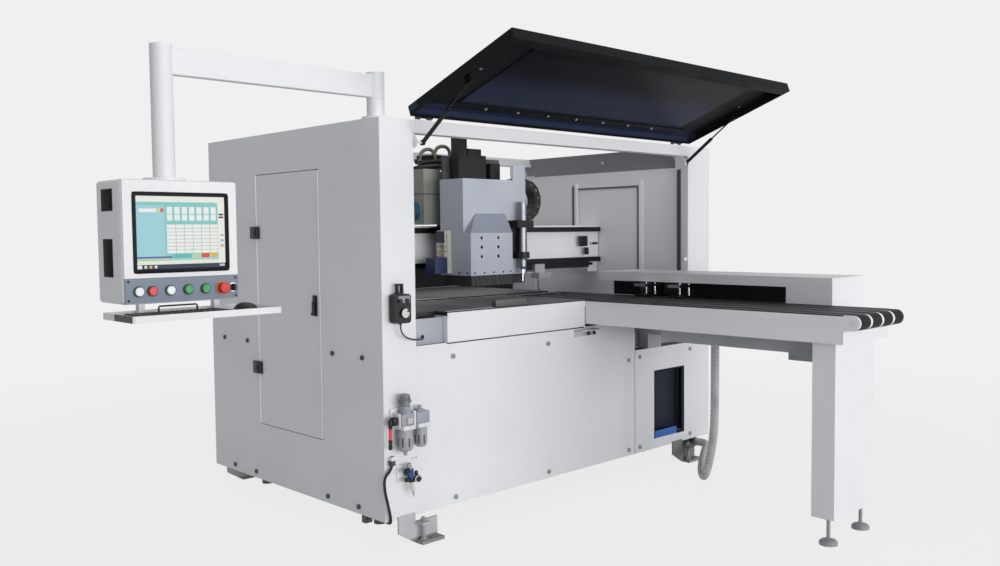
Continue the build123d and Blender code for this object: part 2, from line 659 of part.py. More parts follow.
# Steel guide rails of the beam, the lower unit and the clamps, the inner drum and the panel stop
RAIL_HALF = 14
STOP_Z0 = TABLE_TOP + 76
with BuildPart() as linear_rails:
    for z in RAILS_Z:
        block(LEFT_W + 6, RIGHT_X - 2, RAIL_Y0, BEAM_Y0, z - RAIL_HALF, z + RAIL_HALF)
        for dz in (-RAIL_HALF - 1, 8):
            block(LEFT_W + 5, RIGHT_X - 1, RAIL_Y0 + 5, RAIL_Y0 + 12, z + dz, z + dz + 7, Mode.SUBTRACT)
    block(TABLE_X0 + 20, TABLE_X1 - 20, LOWER_Y0 - 20, LOWER_Y0, LOWER_Z1 - 64, LOWER_Z1 - 36)
    block(
        CLAMP_RAIL_X - RAIL_W / 2,
        CLAMP_RAIL_X + RAIL_W / 2,
        GUARD_END + 35,
        BODY_D - 66,
        GUARD_BASE,
        GUARD_BASE + RAIL_H,
    )
    along_x(INFEED_X0 + SIDE_T, INFEED_X1 - SIDE_T, DRUM_Y, PULLEY_Z, PULLEY_R)
    block(INFEED_X1 - 90, INFEED_X1 + 10, BEAM_Y0 - 66, BEAM_Y0, STOP_Z0, STOP_Z0 + 32)
    block(INFEED_X1 - 80, INFEED_X1, RAIL_Y0, BEAM_Y0 + 70, STOP_Z0 + 31, BEAM_Z0)
    upright(INFEED_X1 - 76, BEAM_Y0 - 50, TABLE_TOP + 6, STOP_Z0 - SEAM, 7)
linear_rails.part.label = "linear_rails"
export_step(linear_rails.part, "parts/linear_rails.step")

# Four flat conveyor belts round the end pulleys and the inner drum
with BuildPart() as conveyor_belts:
    for x in BELT_XS:
        with BuildSketch(side_plane(x, (PULLEY_Y + DRUM_Y) / 2, PULLEY_Z)):
            SlotCenterToCenter(DRUM_Y - PULLEY_Y, 2 * (BELT_IN_R + BELT_T))
            SlotCenterToCenter(DRUM_Y - PULLEY_Y, 2 * BELT_IN_R, mode=Mode.SUBTRACT)
        extrude(amount=BELT_W)
conveyor_belts.part.label = "conveyor_belts"
export_step(conveyor_belts.part, "parts/conveyor_belts.step")

# End shaft with one pulley in each belt
with BuildPart() as infeed_roller:
    along_x(INFEED_X0 - 4, INFEED_X1 + 4, PULLEY_Y, PULLEY_Z, SHAFT_R)
    for x in BELT_XS:
        along_x(x - 1, x + BELT_W + 1, PULLEY_Y, PULLEY_Z, PULLEY_R)
infeed_roller.part.label = "infeed_roller"
export_step(infeed_roller.part, "parts/infeed_roller.step")

# Folded sheet pedestal below the outer end of the infeed, bevelled at its outer corner
LEG_X0 = INFEED_X0 + 31
LEG_X1 = INFEED_X1 - 4
LEG_BEVEL = 34
with BuildPart() as infeed_leg:
    with BuildSketch(Plane(origin=place(LEG_X0, LEG_Y0, LEG_Z0))):
        with BuildLine():
            Polyline(
                (0, 0),
                (LEG_X1 - LEG_X0 - LEG_BEVEL, 0),
                (LEG_X1 - LEG_X0, LEG_BEVEL),
                (LEG_X1 - LEG_X0, LEG_D),
                (0, LEG_D),
                close=True,
            )
        make_face()
    extrude(amount=INFEED_LOW - LEG_Z0)
    block(
        LEG_X0 + SHEET,
        LEG_X1 - LEG_BEVEL - SHEET,
        LEG_Y0 + SHEET,
        LEG_Y1 - SHEET,
        LEG_Z0 + SHEET,
        INFEED_LOW - 150,
        Mode.SUBTRACT,
    )
    with BuildSketch(front_plane(LEG_X1, LEG_Y0 - 1, LEG_Z0)):
        with BuildLine():
            Polyline((1, -1), (1, LEG_BEVEL + 8), (-LEG_BEVEL - 8, -1), close=True)
        make_face()
    extrude(amount=-LEG_D - 2, mode=Mode.SUBTRACT)
infeed_leg.part.label = "infeed_leg"
export_step(infeed_leg.part, "parts/infeed_leg.step")

# Grey clamp beam with saddle, leg bracket, hose spigot and the channel below the infeed
CHANNEL_X0 = INFEED_X0 + 141
CHANNEL_X1 = INFEED_X1 - 84
CHANNEL_Y1 = LEG_Y1 + 842
CHANNEL_H = 70
SPIGOT_X = CLAMP_BEAM_X0 + 50
with BuildPart() as clamp_beam:
    block(
        CLAMP_BEAM_X0,
        CLAMP_BEAM_X0 + CLAMP_BEAM_W,
        GUARD_END + 15,
        REAR_Y - SEAM,
        CLAMP_BEAM_Z0,
        CLAMP_BEAM_Z1,
    )
    block(CLAMP_BEAM_X0 + 50, CLAMP_BEAM_X0 + 170, IN, FRONT_Y, CHUTE_TOP + SEAM, CLAMP_BEAM_Z0)
    block(
        INFEED_X1 - 80,
        CLAMP_BEAM_X0 + 110,
        LEG_Y1 + SEAM,
        GUARD_END + 163,
        CLAMP_BEAM_Z0 - 42,
        CLAMP_BEAM_Z0,
    )
    upright(SPIGOT_X, -420, CLAMP_BEAM_Z0 - 25, CLAMP_BEAM_Z0, HOSE_R + 3.5)
    block(CHANNEL_X0, CHANNEL_X1, LEG_Y1 + SEAM, CHANNEL_Y1, INFEED_LOW - CHANNEL_H, INFEED_LOW - SEAM)
    block(
        CHANNEL_X0 + 6,
        CHANNEL_X1 - 6,
        LEG_Y1 + 2,
        CHANNEL_Y1 - 2,
        INFEED_LOW - CHANNEL_H - 1,
        INFEED_LOW - 7,
        Mode.SUBTRACT,
    )
clamp_beam.part.label = "clamp_beam"
export_step(clamp_beam.part, "parts/clamp_beam.step")

# Sheet cover of the clamp guide with a long slot on the table side
with BuildPart() as clamp_guard:
    for z in (GUARD_TOP - SHEET, GUARD_BASE - SHEET):
        block(GUARD_X0, GUARD_X1, GUARD_END, GUARD_BACK, z, z + SHEET)
    z0 = GUARD_BASE + SEAM
    z1 = GUARD_TOP - IN
    y0 = GUARD_END + IN
    block(GUARD_X0, GUARD_X1, GUARD_END, GUARD_END + SHEET, z0, z1)
    block(GUARD_X1 - SHEET, GUARD_X1, y0, GUARD_BACK, z0, z1)
    block(GUARD_X0, GUARD_X0 + SHEET, y0, GUARD_BACK, SLOT_Z1, z1)
    block(GUARD_X0, GUARD_X0 + SHEET, y0, GUARD_BACK, z0, SLOT_Z0)
    block(GUARD_X0, GUARD_X0 + SHEET, y0, SLOT_END, SLOT_Z0 + SEAM, SLOT_Z1 - SEAM)
clamp_guard.part.label = "clamp_guard"
export_step(clamp_guard.part, "parts/clamp_guard.step")

# Clamp carriage on its rail with two lower jaws
SLIDE_Y0 = min(CLAMPS_Y) - 47
SLIDE_Y1 = max(CLAMPS_Y) + 45
RAIL_FIT = 0.15
with BuildPart() as clamp_carriage:
    block(CLAMP_RAIL_X - 42, CLAMP_RAIL_X + 42, SLIDE_Y0, SLIDE_Y1, GUARD_BASE + 5, GUARD_BASE + 50)
    block(
        CLAMP_RAIL_X - RAIL_W / 2 - RAIL_FIT,
        CLAMP_RAIL_X + RAIL_W / 2 + RAIL_FIT,
        SLIDE_Y0 - 1,
        SLIDE_Y1 + 1,
        GUARD_BASE + 4,
        GUARD_BASE + RAIL_H + 2 * RAIL_FIT,
        Mode.SUBTRACT,
    )
    block(GUARD_X0 + 45, CLAMP_RAIL_X + 50, SLIDE_Y0, SLIDE_Y1, GUARD_BASE + 40, GUARD_BASE + 65)
    for yc in CLAMPS_Y:
        block(GUARD_X0 + 7, GUARD_X0 + 100, yc - 42, yc + 42, JAW_Z0 - 30, JAW_Z0)
        block(JAW_X0, GUARD_X0 + 10, yc - 36, yc + 36, JAW_Z0 - 8, JAW_Z0)
        block(GUARD_X0 + 70, GUARD_X0 + 100, yc - 30, yc + 30, JAW_Z0, JAW_Z0 + 80)
        for dy in (-28, 28):
            upright(ROD_X, yc + dy, JAW_Z0 - 31, JAW_Z0 + 1, ROD_R + FIT, Mode.SUBTRACT)
clamp_carriage.part.label = "clamp_carriage"
export_step(clamp_carriage.part, "parts/clamp_carriage.step")

# Upper jaws with their chrome guide rods
JAW_T = 14
with BuildPart() as clamp_jaws:
    for yc in CLAMPS_Y:
        block(JAW_X0, GUARD_X0 + 60, yc - 38, yc + 38, JAW_Z1, JAW_Z1 + JAW_T)
        for dy in (-28, 28):
            upright(ROD_X, yc + dy, JAW_Z0 - 44, JAW_Z1 + JAW_T + 4, ROD_R)
clamp_jaws.part.label = "clamp_jaws"
export_step(clamp_jaws.part, "parts/clamp_jaws.step")

# Swing arm: sleeve on the post, box arm and drop tube
HUB_Z1 = CON_Z1 + 75
with BuildPart() as swing_arm:
    block(TUBE_X, POST_X, POST_Y - ARM_W / 2, POST_Y + ARM_W / 2, ARM_Z0, ARM_Z1)
    fillet(swing_arm.edges().filter_by(Axis.X), 5)
    upright(POST_X, POST_Y, SLEEVE_Z0, ARM_Z1 + 10, COLUMN_R)
    upright(TUBE_X, POST_Y, CON_Z1 + 12 + SEAM, ARM_Z1 + 8, COLUMN_R)
    upright(POST_X, POST_Y, SLEEVE_Z0 - 1, ARM_Z1 - 17, POST_R + FIT, Mode.SUBTRACT)
    upright(TUBE_X, POST_Y, CON_Z1 + 12, HUB_Z1 + 5, HUB_R + FIT, Mode.SUBTRACT)
swing_arm.part.label = "swing_arm"
export_step(swing_arm.part, "parts/swing_arm.step")

# Console housing, open at the front, with slatted vents in its left wall, swivel flange and hub
VENTS = ((CON_Y0 + 98, 89, CON_Z1 - 105, 5), (CON_Y0 + 99, 63, CON_Z0 + 90, 9))
VENT_STEP = 13
VENT_SLOT = 7
with BuildPart() as console_shell:
    block(CON_X0, CON_X1, CON_Y0, CON_Y1, CON_Z0, CON_Z1)
    fillet(console_shell.edges().filter_by(Axis.Z), 14)
    fillet(console_shell.edges().filter_by(Axis.X).group_by(Axis.Y)[-1], 14)
    block(
        CON_X0 + CON_T,
        CON_X1 - CON_T,
        CON_Y0 - 1,
        CON_Y1 - 14,
        CON_Z0 + CON_T,
        CON_Z1 - CON_T,
        Mode.SUBTRACT,
    )
    for y, width, z, count in VENTS:
        for i in range(count):
            z0 = z + i * VENT_STEP
            block(CON_X0 - 1, CON_X0 + CON_T + 1, y, y + width, z0, z0 + VENT_SLOT, Mode.SUBTRACT)
    upright(TUBE_X, POST_Y, CON_Z1, CON_Z1 + 12, 72)
    upright(TUBE_X, POST_Y, CON_Z1 + 6, HUB_Z1, HUB_R)
console_shell.part.label = "console_shell"
export_step(console_shell.part, "parts/console_shell.step")

# Display plate with its recess, and the button plate with button rings
FACE_X0 = CON_X0 + CON_T + SEAM
FACE_X1 = CON_X1 - CON_T - SEAM
FACE_BACK = CON_Y0 + 10
PLATE_Z0 = CON_Z0 + CON_T + SEAM
PLATE_Z1 = PLATE_Z0 + PLATE_H
SCREEN_W = 342
SCREEN_H = 270
SCREEN_Z0 = PLATE_Z1 + 16.5
RING_R = 18
with BuildPart() as console_face:
    block(FACE_X0, FACE_X1, CON_Y0, FACE_BACK, PLATE_Z1 + 0.5, CON_Z1 - CON_T - SEAM)
    block(
        TUBE_X - SCREEN_W / 2,
        TUBE_X + SCREEN_W / 2,
        CON_Y0 - 1,
        CON_Y0 + 4,
        SCREEN_Z0,
        SCREEN_Z0 + SCREEN_H,
        Mode.SUBTRACT,
    )
    block(FACE_X0, FACE_X1, FACE_Y, FACE_BACK, PLATE_Z0, PLATE_Z1)
    for x in BUTTON_XS:
        along_y(x, FACE_Y - 6, FACE_Y + 5, BUTTON_Z, RING_R)
        along_y(x, FACE_Y - 7, FACE_Y, BUTTON_Z, BUTTON_R + SEAM, Mode.SUBTRACT)
        along_y(x, FACE_Y - 1, FACE_BACK + 1, BUTTON_Z, STEM_R + FIT, Mode.SUBTRACT)
    along_y(ESTOP_X, FACE_Y - 3, FACE_Y + 5, BUTTON_Z, RING_R + 1)
    along_y(ESTOP_X, FACE_Y - 4, FACE_BACK + 1, BUTTON_Z, STEM_R + FIT, Mode.SUBTRACT)
    along_y(SELECTOR_X, FACE_Y - 3, FACE_Y + 5, BUTTON_Z, RING_R - 3)
    along_y(SELECTOR_X, FACE_Y - 4, FACE_BACK + 1, BUTTON_Z, KNOB_STEM_R + FIT, Mode.SUBTRACT)
console_face.part.label = "console_face"
export_step(console_face.part, "parts/console_face.step")

# Keyboard tray hanging below the console, with keyboard and mouse
TRAY_W = 528
TRAY_D = 245
TRAY_X0 = TUBE_X - 255
TRAY_X1 = TRAY_X0 + TRAY_W
TRAY_Y1 = CON_Y0 + 62
TRAY_Y0 = TRAY_Y1 - TRAY_D
TRAY_RIM = 4
TRAY_BED = TRAY_Z0 + SHEET
with BuildPart() as keyboard_tray:
    block(TRAY_X0, TRAY_X1, TRAY_Y0, TRAY_Y1, TRAY_Z0, TRAY_Z0 + 22)
    fillet(keyboard_tray.edges().filter_by(Axis.Z), 12)
    block(
        TRAY_X0 + TRAY_RIM,
        TRAY_X1 - TRAY_RIM,
        TRAY_Y0 + TRAY_RIM,
        TRAY_Y1 - TRAY_RIM,
        TRAY_BED,
        TRAY_Z0 + 23,
        Mode.SUBTRACT,
    )
    for x in (TUBE_X - 145, TUBE_X + 125):
        block(x, x + 20, TRAY_Y1 - 32, TRAY_Y1 - 6, TRAY_Z0 + 1, CON_Z0 - SEAM)
    block(TRAY_X0 + 22, TRAY_X0 + 354, TRAY_Y0 + 15, TRAY_Y0 + 139, TRAY_BED + SEAM, TRAY_Z0 + 16)
    with BuildSketch(Plane(origin=place(TRAY_X1 - 108, TRAY_Y0 + 65, TRAY_BED + SEAM))):
        Ellipse(31, 50)
    extrude(amount=22, taper=18)
keyboard_tray.part.label = "keyboard_tray"
export_step(keyboard_tray.part, "parts/keyboard_tray.step")

# Push buttons with stems and bevelled caps
CAP_Y0 = FACE_Y - 12
CAP_Y1 = FACE_Y - 4.4
STEM_Y1 = FACE_BACK - 2
with BuildPart() as button_white_left:
    along_y(BUTTON_XS[0], CAP_Y0, CAP_Y1, BUTTON_Z, BUTTON_R)
    chamfer(button_white_left.edges().group_by(Axis.Y)[0], 1.5)
    along_y(BUTTON_XS[0], CAP_Y1 - 1, STEM_Y1, BUTTON_Z, STEM_R)
button_white_left.part.label = "button_white_left"
export_step(button_white_left.part, "parts/button_white_left.step")

with BuildPart() as button_red:
    along_y(BUTTON_XS[1], CAP_Y0, CAP_Y1, BUTTON_Z, BUTTON_R)
    chamfer(button_red.edges().group_by(Axis.Y)[0], 1.5)
    along_y(BUTTON_XS[1], CAP_Y1 - 1, STEM_Y1, BUTTON_Z, STEM_R)
button_red.part.label = "button_red"
export_step(button_red.part, "parts/button_red.step")

with BuildPart() as button_white_right:
    along_y(BUTTON_XS[2], CAP_Y0, CAP_Y1, BUTTON_Z, BUTTON_R)
    chamfer(button_white_right.edges().group_by(Axis.Y)[0], 1.5)
    along_y(BUTTON_XS[2], CAP_Y1 - 1, STEM_Y1, BUTTON_Z, STEM_R)
button_white_right.part.label = "button_white_right"
export_step(button_white_right.part, "parts/button_white_right.step")

with BuildPart() as button_green_left:
    along_y(BUTTON_XS[3], CAP_Y0, CAP_Y1, BUTTON_Z, BUTTON_R)
    chamfer(button_green_left.edges().group_by(Axis.Y)[0], 1.5)
    along_y(BUTTON_XS[3], CAP_Y1 - 1, STEM_Y1, BUTTON_Z, STEM_R)
button_green_left.part.label = "button_green_left"
export_step(button_green_left.part, "parts/button_green_left.step")

with BuildPart() as button_green_right:
    along_y(BUTTON_XS[4], CAP_Y0, CAP_Y1, BUTTON_Z, BUTTON_R)
    chamfer(button_green_right.edges().group_by(Axis.Y)[0], 1.5)
    along_y(BUTTON_XS[4], CAP_Y1 - 1, STEM_Y1, BUTTON_Z, STEM_R)
button_green_right.part.label = "button_green_right"
export_step(button_green_right.part, "parts/button_green_right.step")

# Emergency stop mushroom
with BuildPart() as estop:
    along_y(ESTOP_X, FACE_Y - 25, FACE_Y - 9, BUTTON_Z, 20)
    chamfer(estop.edges().group_by(Axis.Y)[0], 4)
    along_y(ESTOP_X, FACE_Y - 11, STEM_Y1, BUTTON_Z, STEM_R)
estop.part.label = "estop"
export_step(estop.part, "parts/estop.step")

# Selector knob with a grip bar
with BuildPart() as selector:
    along_y(SELECTOR_X, FACE_Y - 9, FACE_Y - 3 - SEAM, BUTTON_Z, 13)
    block(SELECTOR_X - 3.5, SELECTOR_X + 3.5, FACE_Y - 21, FACE_Y - 8, BUTTON_Z - 12, BUTTON_Z + 12)
    along_y(SELECTOR_X, FACE_Y - 5, STEM_Y1, BUTTON_Z, KNOB_STEM_R)
selector.part.label = "selector"
export_step(selector.part, "parts/selector.step")

# Hood: folded tray with a window, strut seats and the moving hinge leaves
TH = radians(HOOD_OPEN)
HOOD_PLANE = Plane(origin=place(0, HOOD_Y, HOOD_Z), x_dir=(1, 0, 0), z_dir=(0, sin(TH), cos(TH)))
WIN_INSET = 250
WIN_X0 = HOOD_X0 + WIN_INSET
WIN_X1 = HOOD_X1 - WIN_INSET
WIN_S0 = 100
WIN_S1 = HOOD_L - 124
HOOD_S0 = 6.5
HOOD_LIP = -4
SEAT_HALF = 16


def hood_block(x0, x1, s0, s1, z0, z1, mode=Mode.ADD):
    with Locations(HOOD_PLANE):
        with Locations(((x0 + x1) / 2, -(s0 + s1) / 2, (z0 + z1) / 2)):
            Box(x1 - x0, s1 - s0, z1 - z0, mode=mode)


def hood_pin(x0, x1, s, z, r, mode=Mode.ADD):
    with Locations(HOOD_PLANE):
        with Locations(((x0 + x1) / 2, -s, z)):
            Cylinder(r, x1 - x0, rotation=(0, 90, 0), mode=mode)


with BuildPart() as hood_frame:
    hood_block(HOOD_X0, HOOD_X1, HOOD_S0, HOOD_L, HOOD_LIP, HOOD_DEEP)
    hood_block(
        HOOD_X0 + SHEET,
        HOOD_X1 - SHEET,
        HOOD_S0 + SHEET,
        HOOD_L - SHEET,
        HOOD_LIP - 2,
        HOOD_DEEP - SHEET,
        Mode.SUBTRACT,
    )
    hood_block(WIN_X0, WIN_X1, WIN_S0, WIN_S1, HOOD_DEEP - 4, HOOD_DEEP + 1, Mode.SUBTRACT)
    hood_block(HOOD_X0 + SHEET, HOOD_X1 - SHEET, HOOD_L - 45, HOOD_L - 2, HOOD_LIP, HOOD_LIP + SHEET)
    for x, d in ((STRUT_X[0], -1), (STRUT_X[1], 1)):
        xa = sorted((x + d * 8, x + d * 14))
        hood_block(xa[0], xa[1], STRUT_SEAT - SEAT_HALF, STRUT_SEAT + SEAT_HALF, -10, HOOD_DEEP - 2)
        xb = sorted((x + d * 4.4, x + d * 9))
        hood_pin(xb[0], xb[1], STRUT_SEAT, 0, 8)
    for xc in HOOD_HINGES:
        reach = HOOD_KNUCKLE - SEAM
        hood_block(xc - HOOD_LEAF, xc + HOOD_LEAF, HOOD_S0 - 2, HOOD_S0 + 0.1, HINGE_R + 3, HOOD_DEEP - 6)
        hood_block(xc - reach, xc + reach, HOOD_S0 - 3, HOOD_S0 + 0.1, 0, HINGE_R + 4)
        hood_pin(xc - reach, xc + reach, 0, 0, HINGE_R)
        hood_pin(xc - HOOD_KNUCKLE, xc + HOOD_KNUCKLE, 0, 0, HINGE_PIN_R + FIT, Mode.SUBTRACT)
hood_frame.part.label = "hood_frame"
export_step(hood_frame.part, "parts/hood_frame.step")

# Tinted window behind the hood sheet
LAP = 40
with BuildPart() as hood_window:
    hood_block(WIN_X0 - LAP, WIN_X1 + LAP, WIN_S0 - LAP, WIN_S1 + LAP, HOOD_DEEP - 8, HOOD_DEEP - SHEET)
hood_window.part.label = "hood_window"
export_step(hood_window.part, "parts/hood_window.step")

# Gas struts: tube on the tower stud, rod towards the hood
SEAT_Y = HOOD_Y - STRUT_SEAT * cos(TH)
SEAT_Z = HOOD_Z + STRUT_SEAT * sin(TH)
STRUT_L = hypot(SEAT_Y - STRUT_Y, SEAT_Z - STRUT_Z)
STRUT_DIR = (0, (SEAT_Y - STRUT_Y) / STRUT_L, (SEAT_Z - STRUT_Z) / STRUT_L)
STRUT_PLANES = [
    Plane(origin=place(x, STRUT_Y, STRUT_Z), x_dir=(1, 0, 0), z_dir=STRUT_DIR) for x in STRUT_X
]
TUBE_END = 205
ROD_START = TUBE_END - 19
ROD_END = STRUT_L - 4

with BuildPart() as strut_tube_left:
    with Locations(STRUT_PLANES[0]):
        Cylinder(STRUT_R + 2, 14, rotation=(0, 90, 0))
        with Locations((0, 0, (8 + TUBE_END) / 2)):
            Cylinder(STRUT_R, TUBE_END - 8)
        with Locations((0, 0, (26 + TUBE_END + 1) / 2)):
            Cylinder(STRUT_ROD_R + QUILL_FIT, TUBE_END + 1 - 26, mode=Mode.SUBTRACT)
        Cylinder(STUD_R + FIT, 16, rotation=(0, 90, 0), mode=Mode.SUBTRACT)
strut_tube_left.part.label = "strut_tube_left"
export_step(strut_tube_left.part, "parts/strut_tube_left.step")

with BuildPart() as strut_tube_right:
    with Locations(STRUT_PLANES[1]):
        Cylinder(STRUT_R + 2, 14, rotation=(0, 90, 0))
        with Locations((0, 0, (8 + TUBE_END) / 2)):
            Cylinder(STRUT_R, TUBE_END - 8)
        with Locations((0, 0, (26 + TUBE_END + 1) / 2)):
            Cylinder(STRUT_ROD_R + QUILL_FIT, TUBE_END + 1 - 26, mode=Mode.SUBTRACT)
        Cylinder(STUD_R + FIT, 16, rotation=(0, 90, 0), mode=Mode.SUBTRACT)
strut_tube_right.part.label = "strut_tube_right"
export_step(strut_tube_right.part, "parts/strut_tube_right.step")

with BuildPart() as strut_rod_left:
    with Locations(STRUT_PLANES[0]):
        with Locations((0, 0, (ROD_START + ROD_END) / 2)):
            Cylinder(STRUT_ROD_R, ROD_END - ROD_START)
        with Locations((0, 0, STRUT_L)):
            Cylinder(STRUT_R, 8, rotation=(0, 90, 0))
strut_rod_left.part.label = "strut_rod_left"
export_step(strut_rod_left.part, "parts/strut_rod_left.step")

with BuildPart() as strut_rod_right:
    with Locations(STRUT_PLANES[1]):
        with Locations((0, 0, (ROD_START + ROD_END) / 2)):
            Cylinder(STRUT_ROD_R, ROD_END - ROD_START)
        with Locations((0, 0, STRUT_L)):
            Cylinder(STRUT_R, 8, rotation=(0, 90, 0))
strut_rod_right.part.label = "strut_rod_right"
export_step(strut_rod_right.part, "parts/strut_rod_right.step")

# Cabinet door, a folded sheet tray
with BuildPart() as cabinet_door:
    block(0, DOOR_T, DOOR_Y0, DOOR_Y1, DOOR_Z0, DOOR_Z1)
    fillet(cabinet_door.edges().filter_by(Axis.X), 3)
    block(
        DOOR_SKIN,
        DOOR_T + 1,
        DOOR_Y0 + DOOR_SKIN,
        DOOR_Y1 - DOOR_SKIN,
        DOOR_Z0 + DOOR_SKIN,
        DOOR_Z1 - DOOR_SKIN,
        Mode.SUBTRACT,
    )
cabinet_door.part.label = "cabinet_door"
export_step(cabinet_door.part, "parts/cabinet_door.step")

# Moving hinge leaves and the latch housing on the door
LATCH_Y = DOOR_Y0 + 40
LATCH_H = 92
LATCH_Z0 = DOOR_Z0 + 551
LATCH_Z1 = LATCH_Z0 + LATCH_H
LATCH_PIN_R = 2
with BuildPart() as door_fittings:
    for zc in DOOR_HINGES_Z:
        reach = KNUCKLE - SEAM
        block(-10, 0, DOOR_AXIS_Y - 33.5, DOOR_AXIS_Y - 9, zc - LEAF, zc + LEAF)
        block(DOOR_AXIS_X - 4, DOOR_AXIS_X + 4, DOOR_AXIS_Y - 10.5, DOOR_AXIS_Y, zc - reach, zc + reach)
        upright(DOOR_AXIS_X, DOOR_AXIS_Y, zc - reach, zc + reach, KNUCKLE_R)
        upright(DOOR_AXIS_X, DOOR_AXIS_Y, zc - KNUCKLE, zc + KNUCKLE, DOOR_PIN_R + FIT, Mode.SUBTRACT)
    block(-7, 0, LATCH_Y - 14, LATCH_Y + 14, LATCH_Z0, LATCH_Z1)
    along_x(-10, -6, LATCH_Y, LATCH_Z1 - 14, 8)
    for dy in (-14, 10):
        block(-16, -6, LATCH_Y + dy, LATCH_Y + dy + 4, LATCH_Z0 + 2, LATCH_Z0 + 14)
        along_y(-11, LATCH_Y + dy - 1, LATCH_Y + dy + 5, LATCH_Z0 + 8, LATCH_PIN_R + FIT, Mode.SUBTRACT)
door_fittings.part.label = "door_fittings"
export_step(door_fittings.part, "parts/door_fittings.step")

# Latch paddle that tips out at its upper end
with BuildPart() as latch_paddle:
    block(-15, -7.4, LATCH_Y - 9.6, LATCH_Y + 9.6, LATCH_Z0 + 12, LATCH_Z1 - 26)
    along_y(-11, LATCH_Y - 9.6, LATCH_Y + 9.6, LATCH_Z0 + 8, LATCH_PIN_R + 1.5)
    block(-14.5, -7.5, LATCH_Y - 9.6, LATCH_Y + 9.6, LATCH_Z0 + 8, LATCH_Z0 + 13)
    along_y(-11, LATCH_Y - 14, LATCH_Y + 14, LATCH_Z0 + 8, LATCH_PIN_R)
latch_paddle.part.label = "latch_paddle"
export_step(latch_paddle.part, "parts/latch_paddle.step")

# Head carriage on the cross beam with bearing blocks, vertical rails and the drive housing above the beam
CAR_X0 = HEAD_X0 + 60
CAR_X1 = HEAD_X1 - 63
CAR_Z0 = HEAD_Z0 - 8
CAR_Z1 = HEAD_Z1 - 22
GUIDE_Y0 = CAR_Y0 - 15
DRIVE_X0 = HEAD_X0 - 50
DRIVE_X1 = CAR_X0 + 35
DRIVE_Z0 = BEAM_Z1 + 8
DRIVE_Z1 = HEAD_Z1 + 58
DRIVE_Y1 = CAR_Y1 + 155
MOTOR_R = 48
with BuildPart() as x_carriage:
    block(CAR_X0, CAR_X1, CAR_Y0, CAR_Y1, CAR_Z0, CAR_Z1)
    for x in (CAR_X0 + 10, CAR_X1 - 80):
        for z in RAILS_Z:
            block(x, x + 70, CAR_Y1 - 1, BEAM_Y0 - 4, z - 32, z + 32)
    for z in RAILS_Z:
        block(
            CAR_X0 - 1,
            CAR_X1 + 1,
            RAIL_Y0 - SEAM,
            BEAM_Y0 + 1,
            z - RAIL_HALF - RAIL_FIT,
            z + RAIL_HALF + RAIL_FIT,
            Mode.SUBTRACT,
        )
    for x in (CAR_X0 + 30, CAR_X1 - 55):
        block(x, x + 25, GUIDE_Y0, CAR_Y0 + 1, HEAD_Z0 + 2, HEAD_Z1 - 32)
    with BuildSketch(front_plane(DRIVE_X0, DRIVE_Y1, DRIVE_Z0)):
        with BuildLine():
            Polyline(
                (0, 0),
                (DRIVE_X1 - DRIVE_X0, 0),
                (DRIVE_X1 - DRIVE_X0, DRIVE_Z1 - DRIVE_Z0 - 40),
                (DRIVE_X1 - DRIVE_X0 - 40, DRIVE_Z1 - DRIVE_Z0),
                (0, DRIVE_Z1 - DRIVE_Z0),
                close=True,
            )
        make_face()
    extrude(amount=DRIVE_Y1 - CAR_Y1 + 1)
    along_x(DRIVE_X0 - 30, DRIVE_X0 + 1, CAR_Y1 + 70, DRIVE_Z0 + 70, MOTOR_R)
x_carriage.part.label = "x_carriage"
export_step(x_carriage.part, "parts/x_carriage.step")

# Folded shroud of the drill head with a nose that slopes back to the main face
SHELF_T = 4
with BuildPart() as head_shroud:
    block(HEAD_X0, HEAD_X1, HEAD_Y0, HEAD_Y1, HEAD_Z0, HEAD_Z1)
    block(HEAD_X0, NOSE_X1, NOSE_Y0, HEAD_Y0, HEAD_Z0, NOSE_Z1)
    with BuildSketch(side_plane(HEAD_X0, HEAD_Y0, NOSE_Z1)):
        with BuildLine():
            Polyline((0, 0), (-NOSE_D, 0), (0, SLOPE_H), close=True)
        make_face()
    extrude(amount=NOSE_W)
    with BuildSketch(front_plane(HEAD_X0, HEAD_Y0, NOSE_Z1)):
        with BuildLine():
            Polyline((0, 0), (SLOPE_W, SLOPE_H), (0, SLOPE_H), close=True)
        make_face()
    extrude(amount=NOSE_D + 6, mode=Mode.SUBTRACT)
    block(NOSE_X1 - 1, HEAD_X1, NOSE_Y0, HEAD_Y0 + 1, HEAD_Z0, HEAD_Z0 + SHELF_T)
    upright(ROUTER_X, ROUTER_Y, HEAD_Z0 - 1, HEAD_Z0 + SHELF_T + 1, ROUTER_R + 2.4, Mode.SUBTRACT)
    block(HEAD_X1 - 93, HEAD_X1 - 3, HEAD_Y0, HEAD_Y0 + SHEET, HEAD_Z1 - 1, HEAD_Z1 + 80)
    block(
        HEAD_X0 + SHEET,
        HEAD_X1 - SHEET,
        HEAD_Y0 + SHEET,
        HEAD_Y1 + 1,
        HEAD_Z0 - 1,
        HEAD_Z1 - SHEET,
        Mode.SUBTRACT,
    )
    block(
        HEAD_X0 + SHEET,
        NOSE_X1 - SHEET,
        NOSE_Y0 + SHEET,
        HEAD_Y0 + SHEET + 1,
        HEAD_Z0 - 1,
        NOSE_Z1 - SHEET,
        Mode.SUBTRACT,
    )
    for x in (HEAD_X0 + 74, HEAD_X0 + 190):
        for dz in (24, 70, 117):
            along_y(x, NOSE_Y0 - 1, NOSE_Y0 + SHEET + 1, NOSE_Z1 - dz, 8, Mode.SUBTRACT)
head_shroud.part.label = "head_shroud"
export_step(head_shroud.part, "parts/head_shroud.step")

